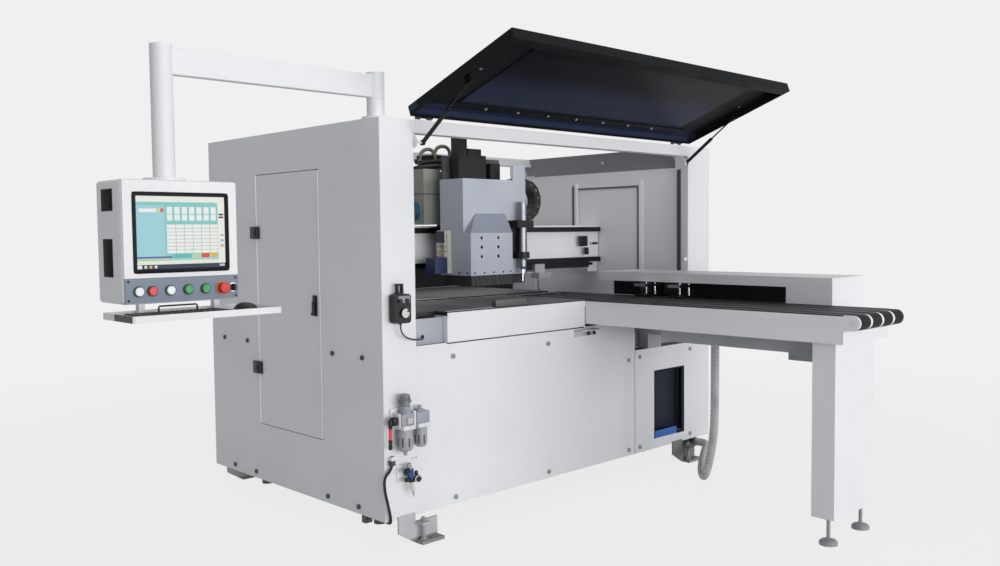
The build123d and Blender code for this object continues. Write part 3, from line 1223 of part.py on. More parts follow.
# Head back plate with the drill block, the valve bank and a small motor on the left side
QUILL_TOP = HEAD_Z0 + 192
BANK_Y0 = HEAD_Y1 - 83
BANK_Y1 = HEAD_Y1 - 3
BANK_X1 = HEAD_X0 - SEAM
BANK_X0 = BANK_X1 - 25.7
with BuildPart() as head_plate:
    block(HEAD_X0 + 22, HEAD_X1 - 21, HEAD_Y1 + SEAM, GUIDE_Y0 - SEAM, HEAD_Z0 + 4, HEAD_Z1 + 118)
    block(HEAD_X0 + 18, NOSE_X1 - 34, HEAD_Y0 + 15, HEAD_Y1 + 1, HEAD_Z0 + 52, HEAD_Z0 + 202)
    for x, y in DRILLS:
        upright(x, y, HEAD_Z0 + 51, QUILL_TOP, QUILL_R + QUILL_FIT, Mode.SUBTRACT)
    block(BANK_X0, BANK_X1, BANK_Y0, BANK_Y1, HEAD_Z0 + 10, HEAD_Z0 + 227)
    block(BANK_X0 - 80, BANK_X0 + 1, BANK_Y0 + 4, BANK_Y1 - 4, HEAD_Z0 + 10, HEAD_Z0 + 89)
    for i in range(5):
        z = HEAD_Z0 + 96 + i * 26
        block(BANK_X0 - 12, BANK_X0 + 1, BANK_Y0 + 8, BANK_Y1 - 8, z, z + 22)
head_plate.part.label = "head_plate"
export_step(head_plate.part, "parts/head_plate.step")

# Black servo motors on top of the head, router clamps and the router mounting plate
LID_Z = HEAD_Z1 + SEAM
CLAMP_Z0 = HEAD_Z0 + 77
CLAMP_Z1 = HEAD_Z0 + 275
CLAMP_BORE = ROUTER_R + SEAM
with BuildPart() as head_motors:
    block(HEAD_X0 + 64, HEAD_X0 + 128, HEAD_Y0 + 101, HEAD_Y0 + 165, LID_Z, HEAD_Z1 + 118)
    block(HEAD_X0 + 67, HEAD_X0 + 125, HEAD_Y0 + 104, HEAD_Y0 + 162, HEAD_Z1 + 117, HEAD_Z1 + 224)
    block(HEAD_X0 + 129, HEAD_X0 + 221, HEAD_Y0 + 101, HEAD_Y0 + 165, LID_Z, HEAD_Z1 + 160)
    block(HEAD_X0 + 220, HEAD_X0 + 254, HEAD_Y0 + 101, HEAD_Y0 + 165, LID_Z, HEAD_Z1 + 128)
    block(HEAD_X0 + 280, HEAD_X0 + 350, HEAD_Y0 + 95, HEAD_Y0 + 160, LID_Z, HEAD_Z1 + 90)
    block(ROUTER_X - 78, ROUTER_X + 60, HEAD_Y0 - 12, HEAD_Y0 - SEAM, CLAMP_Z0, CLAMP_Z1)
    block(ROUTER_X - 62, ROUTER_X + 58, ROUTER_Y - 26, HEAD_Y0 - 11, CLAMP_Z1 - 37, CLAMP_Z1)
    block(ROUTER_X - 40, ROUTER_X + 40, ROUTER_Y - 12, HEAD_Y0 - 11, CLAMP_Z0, CLAMP_Z0 + 34)
    upright(ROUTER_X, ROUTER_Y, CLAMP_Z0, CLAMP_Z0 + 34, ROUTER_R + 14)
    upright(ROUTER_X, ROUTER_Y, CLAMP_Z0 - 1, CLAMP_Z1 + 1, CLAMP_BORE, Mode.SUBTRACT)
head_motors.part.label = "head_motors"
export_step(head_motors.part, "parts/head_motors.step")

# Dust skirt of hanging rubber strips inside the lower edge of the shroud
STRIP_W = 27
STRIP_STEP = 28
STRIP_T = 2.7
SKIRT_Z0 = HEAD_Z0 - 52
SKIRT_Z1 = HEAD_Z0 + 14
with BuildPart() as dust_skirt:
    for i in range(10):
        x = HEAD_X0 + 4.5 + i * STRIP_STEP
        block(x, x + STRIP_W, NOSE_Y0 + IN, NOSE_Y0 + IN + STRIP_T, SKIRT_Z0, SKIRT_Z1)
    for i in range(7):
        y = NOSE_Y0 + 10 + i * STRIP_STEP
        block(HEAD_X0 + IN, HEAD_X0 + IN + STRIP_T, y, y + STRIP_W, SKIRT_Z0, SKIRT_Z1)
    for i in range(5):
        x = NOSE_X1 + 4 + i * STRIP_STEP
        block(x, x + STRIP_W, HEAD_Y0 + IN, HEAD_Y0 + IN + STRIP_T, SKIRT_Z0, SKIRT_Z1)
    for i in range(5):
        y = HEAD_Y0 + 10 + i * STRIP_STEP
        block(HEAD_X1 - IN - STRIP_T, HEAD_X1 - IN, y, y + STRIP_W, SKIRT_Z0, SKIRT_Z1)
dust_skirt.part.label = "dust_skirt"
export_step(dust_skirt.part, "parts/dust_skirt.step")

# Router spindle: feed cylinder, body and nose
with BuildPart() as router_body:
    with BuildSketch(front_plane(ROUTER_X, ROUTER_Y, HEAD_Z0)):
        with BuildLine():
            Polyline(
                (0, 21),
                (14, 21),
                (20, 34),
                (20, 70),
                (ROUTER_R, 76),
                (ROUTER_R, 368),
                (17, 372),
                (0, 372),
                close=True,
            )
        make_face()
    revolve(axis=Axis(place(ROUTER_X, ROUTER_Y, 0), (0, 0, 1)))
    upright(ROUTER_X, ROUTER_Y, HEAD_Z0 + 20, HEAD_Z0 + 62, SHAFT_R + FIT, Mode.SUBTRACT)
router_body.part.label = "router_body"
export_step(router_body.part, "parts/router_body.step")

# Router collet with a cutter
with BuildPart() as router_collet:
    upright(ROUTER_X, ROUTER_Y, HEAD_Z0 + 12, HEAD_Z0 + 52, SHAFT_R)
    upright(ROUTER_X, ROUTER_Y, HEAD_Z0 - 2, HEAD_Z0 + 20, 12)
    upright(ROUTER_X, ROUTER_Y, HEAD_Z0 - 42, HEAD_Z0 - 1, BIT_R)
    block(ROUTER_X - 5, ROUTER_X + 5, ROUTER_Y - 1.2, ROUTER_Y + 1.2, HEAD_Z0 - 42, HEAD_Z0 - 12)
router_collet.part.label = "router_collet"
export_step(router_collet.part, "parts/router_collet.step")

# Upper vertical drills in their quills
with BuildPart() as drills:
    for x, y in DRILLS:
        upright(x, y, HEAD_Z0 + 14, HEAD_Z0 + 130, QUILL_R)
        upright(x, y, HEAD_Z0 - 36, HEAD_Z0 + 15, BIT_R)
drills.part.label = "drills"
export_step(drills.part, "parts/drills.step")

# Cable chain loop at the right side of the head
LOOP_IN = 69
LOOP_OUT = 113
LOOP_X = HEAD_X1 + 92
LOOP_Z = HEAD_Z0 + 385
CHAIN_Y0 = HEAD_Y1 - 95
CHAIN_W = 60
LINK_L = 45.4
LINKS_BEND = 7
with BuildPart() as chain_loop:
    for z0, z1 in ((LOOP_Z - LOOP_OUT, LOOP_Z - LOOP_IN), (LOOP_Z + LOOP_IN, LOOP_Z + LOOP_OUT)):
        for i in range(2):
            x = HEAD_X1 + SEAM + i * (LINK_L + 0.4)
            block(x, x + LINK_L, CHAIN_Y0, CHAIN_Y0 + CHAIN_W, z0, z1)
            block(x + 8, x + 37, CHAIN_Y0 + 8, CHAIN_Y0 + CHAIN_W - 8, z0 - 1, z1 + 1, Mode.SUBTRACT)
    for i in range(LINKS_BEND):
        a0 = radians(-90 + i * 180 / LINKS_BEND + 0.2)
        a1 = radians(-90 + (i + 1) * 180 / LINKS_BEND - 0.2)
        with BuildSketch(front_plane(LOOP_X, CHAIN_Y0 + CHAIN_W, LOOP_Z)):
            with BuildLine():
                Polyline(
                    (LOOP_IN * cos(a0), LOOP_IN * sin(a0)),
                    (LOOP_OUT * cos(a0), LOOP_OUT * sin(a0)),
                    (LOOP_OUT * cos(a1), LOOP_OUT * sin(a1)),
                    (LOOP_IN * cos(a1), LOOP_IN * sin(a1)),
                    close=True,
                )
            make_face()
        extrude(amount=CHAIN_W)
chain_loop.part.label = "chain_loop"
export_step(chain_loop.part, "parts/chain_loop.step")

# Lower drill unit on its own rail below the table gap
LOWER_RAIL_Z = LOWER_Z1 - 50
SHOE_Y0 = LOWER_Y0 - 50
with BuildPart() as lower_carriage:
    block(LOWER_X - 70, LOWER_X + 70, SHOE_Y0, LOWER_Y0 - 4, LOWER_Z1 - 88, LOWER_Z1 - 12)
    block(
        LOWER_X - 71,
        LOWER_X + 71,
        LOWER_Y0 - 20 - SEAM,
        LOWER_Y0 + 1,
        LOWER_RAIL_Z - RAIL_HALF - RAIL_FIT,
        LOWER_RAIL_Z + RAIL_HALF + RAIL_FIT,
        Mode.SUBTRACT,
    )
    block(LOWER_X - 80, LOWER_X + 80, SHOE_Y0 - 28, SHOE_Y0 + 1, LOWER_Z1 - 180, RAIL_TOP - 35)
    block(LOWER_X - 75, LOWER_X + 75, SHOE_Y0 - 28, LOWER_DRILL_Y + 28, RAIL_TOP - 36, RAIL_TOP + 45)
    block(LOWER_X - 55, LOWER_X + 55, SHOE_Y0 - 130, SHOE_Y0 - 27, LOWER_Z1 - 150, LOWER_Z1 - 40)
    for x in LOWER_DRILLS:
        upright(x, LOWER_DRILL_Y, RAIL_TOP - 33, RAIL_TOP + 46, QUILL_R + QUILL_FIT, Mode.SUBTRACT)
lower_carriage.part.label = "lower_carriage"
export_step(lower_carriage.part, "parts/lower_carriage.step")

# Lower vertical drills
with BuildPart() as lower_drills:
    for x in LOWER_DRILLS:
        upright(x, LOWER_DRILL_Y, RAIL_TOP - 31, RAIL_TOP + 83, QUILL_R)
        upright(x, LOWER_DRILL_Y, RAIL_TOP + 82, RAIL_TOP + 121, BIT_R)
lower_drills.part.label = "lower_drills"
export_step(lower_drills.part, "parts/lower_drills.step")

# Air service unit and small pressure regulator on the tower front, with bowls and gauges
UNITS_X = (LEFT_W - 95, LEFT_W - 35)
AIR_Y = -40
AIR_Z0 = 500
AIR_Z1 = 588
SMALL_X = LEFT_W - 81
with BuildPart() as air_service:
    block(LEFT_W - 124, LEFT_W - 6, -12, 0, AIR_Z1 - 33, AIR_Z1 + 8)
    for x in UNITS_X:
        block(x - 28, x + 28, AIR_Y - 28, -11, AIR_Z0, AIR_Z1)
        upright(x, AIR_Y, AIR_Z0 - 10, AIR_Z0 + 2, 25)
        upright(x, AIR_Y, AIR_Z0 - 92, AIR_Z0 - 8, 23)
        upright(x, AIR_Y, AIR_Z0 - 110, AIR_Z0 - 90, 6)
    upright(UNITS_X[1], AIR_Y, AIR_Z1 - 1, AIR_Z1 + 24, 15)
    along_y(UNITS_X[0], AIR_Y - 40, AIR_Y - 27, AIR_Z1 - 40, 18)
    block(UNITS_X[0] + 27, UNITS_X[1] - 27, AIR_Y - 18, AIR_Y + 18, AIR_Z0 + 20, AIR_Z0 + 70)
    block(UNITS_X[0] - 61, UNITS_X[0] - 27, AIR_Y - 18, AIR_Y + 18, AIR_Z1 - 60, AIR_Z1 - 24)
    along_x(UNITS_X[0] - 79, UNITS_X[0] - 59, AIR_Y, AIR_Z1 - 42, 9)
    upright(UNITS_X[0] - 79, AIR_Y, AIR_Z0 - 22, AIR_Z1 - 33, 8)
    block(UNITS_X[1] + 27, UNITS_X[1] + 59, AIR_Y - 16, AIR_Y + 16, AIR_Z0 + 30, AIR_Z0 + 62)
    block(SMALL_X - 29, SMALL_X + 29, -10, 0, 262, 330)
    block(SMALL_X - 25, SMALL_X + 25, -58, -9, 262, 330)
    upright(SMALL_X, -34, 208, 263, 19)
    upright(SMALL_X, -34, 329, 348, 13)
    along_y(SMALL_X, -68, -57, 300, 16)
air_service.part.label = "air_service"
export_step(air_service.part, "parts/air_service.step")

# Fluted pressure knob on top of the first air unit
KNOB_R = 20
FLUTE = 1.6
FLUTES = 18
with BuildPart() as regulator_knob:
    upright(UNITS_X[0], AIR_Y, AIR_Z1 + SEAM, AIR_Z1 + 18, KNOB_R)
    with BuildSketch(Plane(origin=place(UNITS_X[0], AIR_Y, AIR_Z1 + 17.5))):
        with BuildLine():
            Polyline(
                *[
                    (
                        (KNOB_R - FLUTE * (i % 2)) * cos(pi * i / FLUTES),
                        (KNOB_R - FLUTE * (i % 2)) * sin(pi * i / FLUTES),
                    )
                    for i in range(2 * FLUTES)
                ],
                close=True,
            )
        make_face()
    extrude(amount=44.5)
    with BuildSketch(front_plane(UNITS_X[0], AIR_Y, AIR_Z1 + 61.5)):
        with BuildLine():
            Polyline((0, 0), (KNOB_R - 2 * FLUTE, 0), (KNOB_R - 6, 5.5), (0, 5.5), close=True)
        make_face()
    revolve(axis=Axis(place(UNITS_X[0], AIR_Y, 0), (0, 0, 1)))
regulator_knob.part.label = "regulator_knob"
export_step(regulator_knob.part, "parts/regulator_knob.step")

# Hand wheel pendant hanging on its hook, and the cable glands on the tower
DIAL_X = 80
DIAL_Z = 985
DIAL_STEM_R = 6
LEAD_X = 73
GLAND_Z = 875
GLAND_Y = 54
with BuildPart() as pendant:
    block(32, 116, -46, -10, 943, 1063)
    fillet(pendant.edges().filter_by(Axis.Y), 14)
    block(58, 90, -30, -14, 1055, 1105)
    block(66, 82, -31, -13, 1070, 1097, Mode.SUBTRACT)
    block(62, 86, -11, 0, 1000, 1040)
    for x in (56, 92):
        along_y(x, -56, -45, 1036, 9)
    along_y(DIAL_X, -47, -36, DIAL_Z, DIAL_STEM_R + FIT, Mode.SUBTRACT)
    upright(LEAD_X, -28, 936, 944, LEAD_R + 3)
    along_x(LEFT_W, LEFT_W + 10, GLAND_Y, GLAND_Z, LEAD_R + 4)
    block(18, 38, -26, 0, 372, 392)
    upright(28, -16, 358, 373, CABLE_R + 3)
pendant.part.label = "pendant"
export_step(pendant.part, "parts/pendant.step")

# Hand wheel dial of the pendant
with BuildPart() as pendant_dial:
    along_y(DIAL_X, -56, -46 - SEAM, DIAL_Z, 22)
    along_y(DIAL_X, -47, -37, DIAL_Z, DIAL_STEM_R)
    along_y(DIAL_X + 11, -64, -55, DIAL_Z + 9, 4)
pendant_dial.part.label = "pendant_dial"
export_step(pendant_dial.part, "parts/pendant_dial.step")


def bend_radii(points):
    radii = []
    for a, b, c in zip(points, points[1:], points[2:]):
        u = Vector(*b) - Vector(*a)
        v = Vector(*c) - Vector(*b)
        turn = radians(u.get_angle(v))
        radii.append(0.45 * min(u.length, v.length) / tan(turn / 2))
    return radii


def report_route(name, points, radii, r, part, path):
    runs = [(Vector(*b) - Vector(*a)).length for a, b in zip(points, points[1:])]
    ratio = part.volume / (pi * r * r * path.length)
    print(name, "length", round(path.length, 1), "least radius", round(min(radii), 1))
    print(name, "volume ratio", round(ratio, 3), "runs", [round(v, 1) for v in runs])


# Supply cable from its gland down to the junction box below the tower
CABLE_POINTS = [
    place(28, -16, 358),
    place(28, -16, 316),
    place(-12, -16, 280),
    place(-9, -16, 226),
    place(12, -16, 172),
    place(22, -16, 93),
    place(22, 138, 93),
]
CABLE_RADII = bend_radii(CABLE_POINTS)
with BuildLine() as cable_path:
    FilletPolyline(*CABLE_POINTS, radius=CABLE_RADII)
with BuildPart() as mains_cable:
    with BuildSketch(Plane(origin=cable_path.wire() @ 0, z_dir=cable_path.wire() % 0)):
        Circle(CABLE_R)
    sweep(path=cable_path.wire())
mains_cable.part.label = "mains_cable"
export_step(mains_cable.part, "parts/mains_cable.step")
report_route("mains_cable", CABLE_POINTS, CABLE_RADII, CABLE_R, mains_cable.part, cable_path.wire())

# Lead of the hand pendant round the tower corner
LEAD_POINTS = [
    place(LEAD_X, -28, 936),
    place(LEAD_X, -28, 908),
    place(101, -28, GLAND_Z + 5),
    place(147, -28, GLAND_Z - 8),
    place(LEFT_W + 18, -24, GLAND_Z - 11),
    place(LEFT_W + 50, 10, GLAND_Z - 6),
    place(LEFT_W + 52, GLAND_Y, GLAND_Z),
    place(LEFT_W + 10, GLAND_Y, GLAND_Z),
]
LEAD_RADII = bend_radii(LEAD_POINTS)
with BuildLine() as lead_path:
    FilletPolyline(*LEAD_POINTS, radius=LEAD_RADII)
with BuildPart() as pendant_cable:
    with BuildSketch(Plane(origin=lead_path.wire() @ 0, z_dir=lead_path.wire() % 0)):
        Circle(LEAD_R)
    sweep(path=lead_path.wire())
pendant_cable.part.label = "pendant_cable"
export_step(pendant_cable.part, "parts/pendant_cable.step")
report_route("pendant_cable", LEAD_POINTS, LEAD_RADII, LEAD_R, pendant_cable.part, lead_path.wire())

# Ribbed dust hose from the clamp beam down and round to the dust port
HOSE_TOP = CLAMP_BEAM_Z0 - 25
HOSE_POINTS = [
    place(SPIGOT_X, -420, HOSE_TOP),
    place(SPIGOT_X, -420, HOSE_TOP - 255),
    place(SPIGOT_X - 8, -424, HOSE_TOP - 495),
    place(SPIGOT_X + 90, -330, 52),
    place(SPIGOT_X + 300, -260, 60),
    place(PORT_X, -155, 88),
    place(PORT_X, 5, 88),
]
HOSE_RADII = bend_radii(HOSE_POINTS)
with BuildLine() as hose_path:
    FilletPolyline(*HOSE_POINTS, radius=HOSE_RADII)
HOSE_LEN = hose_path.wire().length
RIB_STEP = (HOSE_LEN - 4 * HOSE_R) / HOSE_RIBS
STATIONS = [(0, HOSE_ROOT_R)]
for i in range(HOSE_RIBS):
    s = 2 * HOSE_R + i * RIB_STEP
    STATIONS.append((s, HOSE_ROOT_R))
    STATIONS.append((s + 0.5 * RIB_STEP, HOSE_R))
STATIONS.append((HOSE_LEN - 2 * HOSE_R, HOSE_ROOT_R))
STATIONS.append((HOSE_LEN, HOSE_ROOT_R))
ACROSS = Vector(1, -1, 0)
with BuildPart() as dust_hose:
    for s, r in STATIONS:
        spot = hose_path.wire() @ (s / HOSE_LEN)
        along = hose_path.wire() % (s / HOSE_LEN)
        with BuildSketch(Plane(origin=spot, x_dir=ACROSS.cross(along), z_dir=along)):
            Circle(r)
    loft(ruled=True)
    mouth = Plane(origin=hose_path.wire() @ 0, z_dir=hose_path.wire() % 0)
    with BuildSketch(mouth, mode=Mode.PRIVATE) as bore:
        Circle(HOSE_BORE_R)
    sweep(bore.sketch, path=hose_path.wire(), mode=Mode.SUBTRACT)
dust_hose.part.label = "dust_hose"
export_step(dust_hose.part, "parts/dust_hose.step")
report_route("dust_hose", HOSE_POINTS, HOSE_RADII, HOSE_R, dust_hose.part, hose_path.wire())
print("strut length", round(STRUT_L, 2), "hood angle", HOOD_OPEN)
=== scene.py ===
from math import cos, pi, radians, sin

import bmesh
import bpy
from mathutils import Matrix, Vector


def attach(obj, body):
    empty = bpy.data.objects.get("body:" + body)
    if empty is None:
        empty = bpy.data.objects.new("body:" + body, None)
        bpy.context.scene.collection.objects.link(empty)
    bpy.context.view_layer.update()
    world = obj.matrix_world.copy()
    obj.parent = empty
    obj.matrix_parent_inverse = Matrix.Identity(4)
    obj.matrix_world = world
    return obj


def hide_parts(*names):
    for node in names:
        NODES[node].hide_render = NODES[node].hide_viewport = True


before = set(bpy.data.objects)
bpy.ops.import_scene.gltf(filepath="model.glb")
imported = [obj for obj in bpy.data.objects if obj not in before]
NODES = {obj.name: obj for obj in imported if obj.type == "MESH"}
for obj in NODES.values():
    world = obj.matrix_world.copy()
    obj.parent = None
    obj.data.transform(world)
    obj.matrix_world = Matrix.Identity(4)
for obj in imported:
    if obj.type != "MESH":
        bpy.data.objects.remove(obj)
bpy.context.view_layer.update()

# Millimetres are measured from the left front floor corner of the body, the shared frame is in metres
ORIGIN_X, ORIGIN_Y = 1184, 728
TO_FRAME = Matrix.Scale(0.001, 4) @ Matrix.Translation((-ORIGIN_X, -ORIGIN_Y, 0))
PLAIN = Matrix.Identity(4)
UP, DOWN, FRONT, BACK, LEFT, RIGHT = (0, 0, 1), (0, 0, -1), (0, -1, 0), (0, 1, 0), (-1, 0, 0), (1, 0, 0)

# The lifted hood has its own axes: across, outwards from the hinge line, and up through the sheet
HOOD_TILT = radians(20.1)
HINGE_Y, HINGE_Z = -7, 1798
HOOD_AXES = Matrix(
    (
        (1, 0, 0, 0),
        (0, -cos(HOOD_TILT), sin(HOOD_TILT), HINGE_Y),
        (0, sin(HOOD_TILT), cos(HOOD_TILT), HINGE_Z),
        (0, 0, 0, 1),
    )
)

# Places that several pieces share
TABLE_Z = 970
WALL_X, COLUMN_X = 2191.5, 2160
BEAM_Y, RAIL_Y = 664, 690.2
TRIM_Y = (-1.6, 0.4)
SCREEN_X0, SCREEN_X1, SCREEN_Z0, SCREEN_Z1 = -1027, -683, 1187, 1459
TRAY_Z = 1043
CONTROL_Y, CONTROL_Z = -25.1, 1128


def spot(x, y, z):
    return TO_FRAME @ Vector((x, y, z))


def tint(code):
    parts = [int(code[i : i + 2], 16) / 255 for i in (1, 3, 5)]
    linear = [p / 12.92 if p < 0.04045 else ((p + 0.055) / 1.055) ** 2.4 for p in parts]
    return (*linear, 1.0)


def shaded(colour, share, lift=0.0):
    return tuple(min(1.0, c * share + lift) for c in colour[:3]) + (1.0,)


def sums(operation, reflected=False):
    """An operator of a wire; the reflected form has the wire on its right."""

    def add_node(wire, other=0.0):
        a, b = (other, wire) if reflected else (wire, other)
        return wire.graph.add("ShaderNodeMath", {"operation": operation}, {0: a, 1: b})

    return add_node


class Wire:
    """A node socket that takes part in sums; each sum adds a Math node."""

    def __init__(self, graph, socket):
        self.graph = graph
        self.socket = socket

    __add__, __radd__ = sums("ADD"), sums("ADD", True)
    __sub__, __rsub__ = sums("SUBTRACT"), sums("SUBTRACT", True)
    __mul__, __rmul__ = sums("MULTIPLY"), sums("MULTIPLY", True)
    __truediv__, __mod__ = sums("DIVIDE"), sums("FLOORED_MODULO")
    __lt__, __gt__ = sums("LESS_THAN"), sums("GREATER_THAN")
    __and__, __or__ = sums("MINIMUM"), sums("MAXIMUM")
    __abs__ = sums("ABSOLUTE")


class Graph:
    """A node tree with one way to add a node: its type, its settings, then its inputs."""

    def __init__(self, tree):
        self.tree = tree

    def add(self, kind, settings=None, inputs=None, out=0):
        node = self.tree.nodes.new(kind)
        for key, value in (settings or {}).items():
            setattr(node, key, value)
        for key, value in (inputs or {}).items():
            if isinstance(value, Wire):
                self.tree.links.new(value.socket, node.inputs[key])
            else:
                node.inputs[key].default_value = value
        return Wire(self, node.outputs[out])

    def outs(self, wire):
        return [Wire(self, socket) for socket in wire.socket.node.outputs]

    def sink(self, kind, wire):
        self.tree.links.new(wire.socket, self.tree.nodes.new(kind).inputs[0])


class Finish(Graph):
    """A material that reads the object's own coordinates, in metres or as millimetres from a place."""

    def __init__(self, name):
        self.material = bpy.data.materials.new(name)
        self.material.use_nodes = True
        super().__init__(self.material.node_tree)
        self.tree.nodes.clear()
        self.where = self.add("ShaderNodeTexCoord", out="Object")
        self.x, self.y, self.z = self.outs(self.add("ShaderNodeSeparateXYZ", None, {0: self.where}))

    def across(self, x):
        return (self.x - (x - ORIGIN_X) / 1000) * 1000

    def deep(self, y):
        return (self.y - (y - ORIGIN_Y) / 1000) * 1000

    def up(self, z):
        return (self.z - z / 1000) * 1000

    def within(self, x0, x1, y0, y1, z0, z1):
        mask = (self.across(x0) > 0) & (self.across(x1) < 0)
        mask = mask & ((self.deep(y0) > 0) & (self.deep(y1) < 0))
        return mask & ((self.up(z0) > 0) & (self.up(z1) < 0))

    def radius(self, a, b):
        return self.add("ShaderNodeMath", {"operation": "SQRT"}, {0: a * a + b * b})

    def grain(self, scale, stretch=(1, 1, 1), detail=2.0):
        spread = self.add("ShaderNodeMapping", None, {"Vector": self.where, "Scale": stretch})
        return self.add("ShaderNodeTexNoise", None, {"Vector": spread, "Scale": scale, "Detail": detail}, "Fac")

    def ease(self, value, low, high):
        limits = {"Value": value, "From Min": low, "From Max": high}
        return self.add("ShaderNodeMapRange", {"interpolation_type": "SMOOTHSTEP"}, limits, "Result")

    def cloud(self, scale, detail=4.0):
        return self.ease(self.grain(scale, detail=detail), 0.35, 0.75)

    def mix(self, a, b, share):
        a, b = (tint(c) if isinstance(c, str) else c for c in (a, b))
        return self.add("ShaderNodeMix", {"data_type": "RGBA"}, {0: share, 6: a, 7: b}, 2)

    def over(self, colour, *coats):
        """Lays coats over a colour, each a colour and its share."""
        for coat, share in coats:
            colour = self.mix(colour, coat, share)
        return colour

    def bump(self, height, depth):
        return self.add("ShaderNodeBump", None, {"Strength": 0.6, "Distance": depth, "Height": height})

    def close(self, colour, rough, metal=0.0, relief=None, **fixed):
        sockets = {"Base Color": colour, "Roughness": rough, "Metallic": metal}
        if relief:
            sockets["Normal"] = self.bump(*relief)
        sockets.update({key.replace("_", " "): value for key, value in fixed.items()})
        self.sink("ShaderNodeOutputMaterial", self.add("ShaderNodeBsdfPrincipled", None, sockets))
        return self.material


def ridges(value, pitch):
    """A wave of straight flanks from 0 to 1, once in each pitch."""
    return abs(value % pitch - pitch / 2) / (pitch / 2)


# Depths of relief that several finishes share, in metres
COAT_PEEL, FINE_GRAIN, LINE_DEPTH, ROUGH_GRAIN = 0.00012, 0.00008, 0.00006, 0.0001


# Finishes that differ only in colour and gloss
def powder_coat(name, code, rough=0.42, soil=0.10):
    f = Finish(name)
    base = tint(code)
    shade = shaded(base, 0.86)
    dust = (base[0] * 0.62, base[1] * 0.60, base[2] * 0.56, 1.0)
    low = (1.0 - f.ease(f.z, 0.10, 0.34)) * f.ease(f.grain(9.0, (1, 1, 0.4), 4.0), 0.42, 0.72)
    scuff = f.ease(f.grain(55.0, (1, 1, 6), 3.0), 0.66, 0.74) * f.ease(f.grain(3.0), 0.5, 0.7)
    colour = f.over(base, (shade, f.cloud(1.7, 3.0) * 0.35), (dust, low * soil), (shade, scuff * 0.5))
    gloss = rough + f.grain(14.0, detail=3.0) * 0.10 + scuff * 0.10
    return f.close(colour, gloss, relief=(f.grain(420.0, detail=1.0), COAT_PEEL))


def moulded(name, code, rough=0.5, shine=0.3):
    f = Finish(name)
    base = tint(code)
    colour = f.mix(base, shaded(base, 1.35, 0.006), f.cloud(22.0) * 0.3)
    gloss = rough + f.grain(60.0) * 0.14 - 0.05
    return f.close(colour, gloss, relief=(f.grain(900.0, detail=1.0), FINE_GRAIN), Specular_IOR_Level=shine)


def ground_metal(name, code, along, rough):
    f = Finish(name)
    base = tint(code)
    dark = shaded(base, 0.72)
    lines = f.grain(160.0, along, 3.0)
    stain = f.ease(f.grain(7.0, detail=4.0), 0.5, 0.8)
    colour = f.over(base, (dark, lines * 0.5), (dark, stain * 0.4))
    return f.close(colour, rough + lines * 0.16 + stain * 0.08, 1.0, (lines, LINE_DEPTH))


def lit_button(name, code, glow):
    f = Finish(name)
    centre = f.ease(f.grain(90.0), 0.3, 0.7)
    base = tint(code)
    colour = f.mix(base, shaded(base, 1.3, 0.03), centre * 0.6)
    relief = (ridges(f.x * 1000.0 + f.z * 1000.0, 3.0), 0.0002)
    return f.close(colour, 0.22 + centre * 0.1, relief=relief, Emission_Color=colour, Emission_Strength=glow)


WHITE_COAT = powder_coat("white_coat", "#e4e6ea")
SHADED_COAT = powder_coat("shaded_coat", "#34363a", 0.55)
FRAME_COAT = powder_coat("frame_coat", "#55585c", 0.5, 0.3)
BRACKET_COAT = powder_coat("bracket_coat", "#c3c5c8", 0.45, 0.3)
CHUTE_NAVY = powder_coat("chute_navy", "#46527a", 0.5)
APRON_PAINTED_SHADE = powder_coat("lilac_coat", "#a6aab5")
WALL_CAP_PAINTED_SHADE = powder_coat("wall_cap_coat", "#8a8d91")
WALL_PAINTED_SHADOW = powder_coat("wall_groove", "#4d5055", 0.5)
DOOR_HIGHLIGHT_PAINT = powder_coat("door_bead", "#f8f9fb")
BLACK_OXIDE = moulded("black_oxide", "#141517", 0.44)
DRIVE_SHELL = moulded("drive_shell", "#8d9095")
LINK_BLACK = moulded("link_black", "#1a1a1c", 0.4)
PENDANT_BLACK = moulded("pendant_black", "#1c1d1f", 0.42)
STRUT_BLACK = moulded("strut_black", "#121315", 0.3)
LEAD_BLACK = moulded("lead_black", "#17181a", 0.45)
PUSH_BLACK = moulded("push_in_black", "#1a1b1d", 0.36)
AIR_TUBE_RED = moulded("air_tube_red", "#e0454a", 0.3)
BOWL_GREY = moulded("bowl_guard_grey", "#9a9ea4", 0.42)
DRAIN_PALE = moulded("clear_bowl_pale", "#d8d0cb", 0.22)
REGULATOR_BLUE = moulded("regulator_blue", "#2d4f86", 0.38)
DIAL_PALE = moulded("gauge_face_pale", "#b9bdbc", 0.3)
LEGEND_ORANGE = moulded("stop_legend_orange", "#d98a3a", 0.4)
KEY_BLACK = moulded("key_black", "#16171a", 0.38)
GRILLE_BLACK = moulded("grille_black", "#08090a", 0.6, 0.12)
BEZEL_BLACK = moulded("bezel_black", "#0f1115", 0.5, 0.15)
KNOB_WHITE = moulded("knob_white", "#eceeee", 0.3)
KNOB_GREY = moulded("knob_grey", "#7b7f85", 0.45)
CURTAIN_SHADE_BLACK = moulded("curtain_rubber", "#1e1f21", 0.6)
CONDUIT_GREY = moulded("conduit_grey", "#77746c", 0.4)
FLAP_NAVY = moulded("flap_navy", "#1f2636", 0.55, 0.15)
SLOT_SHADE_BLACK = moulded("rubber_edge", "#0d0f13", 0.6, 0.15)
EDGE_NAVY = moulded("edge_navy", "#141924", 0.6, 0.15)
PAINTED_GLINT_STRIP = moulded("pale_strip", "#c9c6bf", 0.45)
STOP_BLOCK = moulded("stop_block", "#5f5f5e", 0.4)
STOP_RED = moulded("stop_red", "#c92a1e", 0.26)
JOINT_PALE = moulded("joint_pale", "#d3d6d9", 0.4)
UNIT_GREY = moulded("unit_grey", "#979ba3", 0.4)
PORT_NAVY = moulded("port_navy", "#3c4049", 0.4)
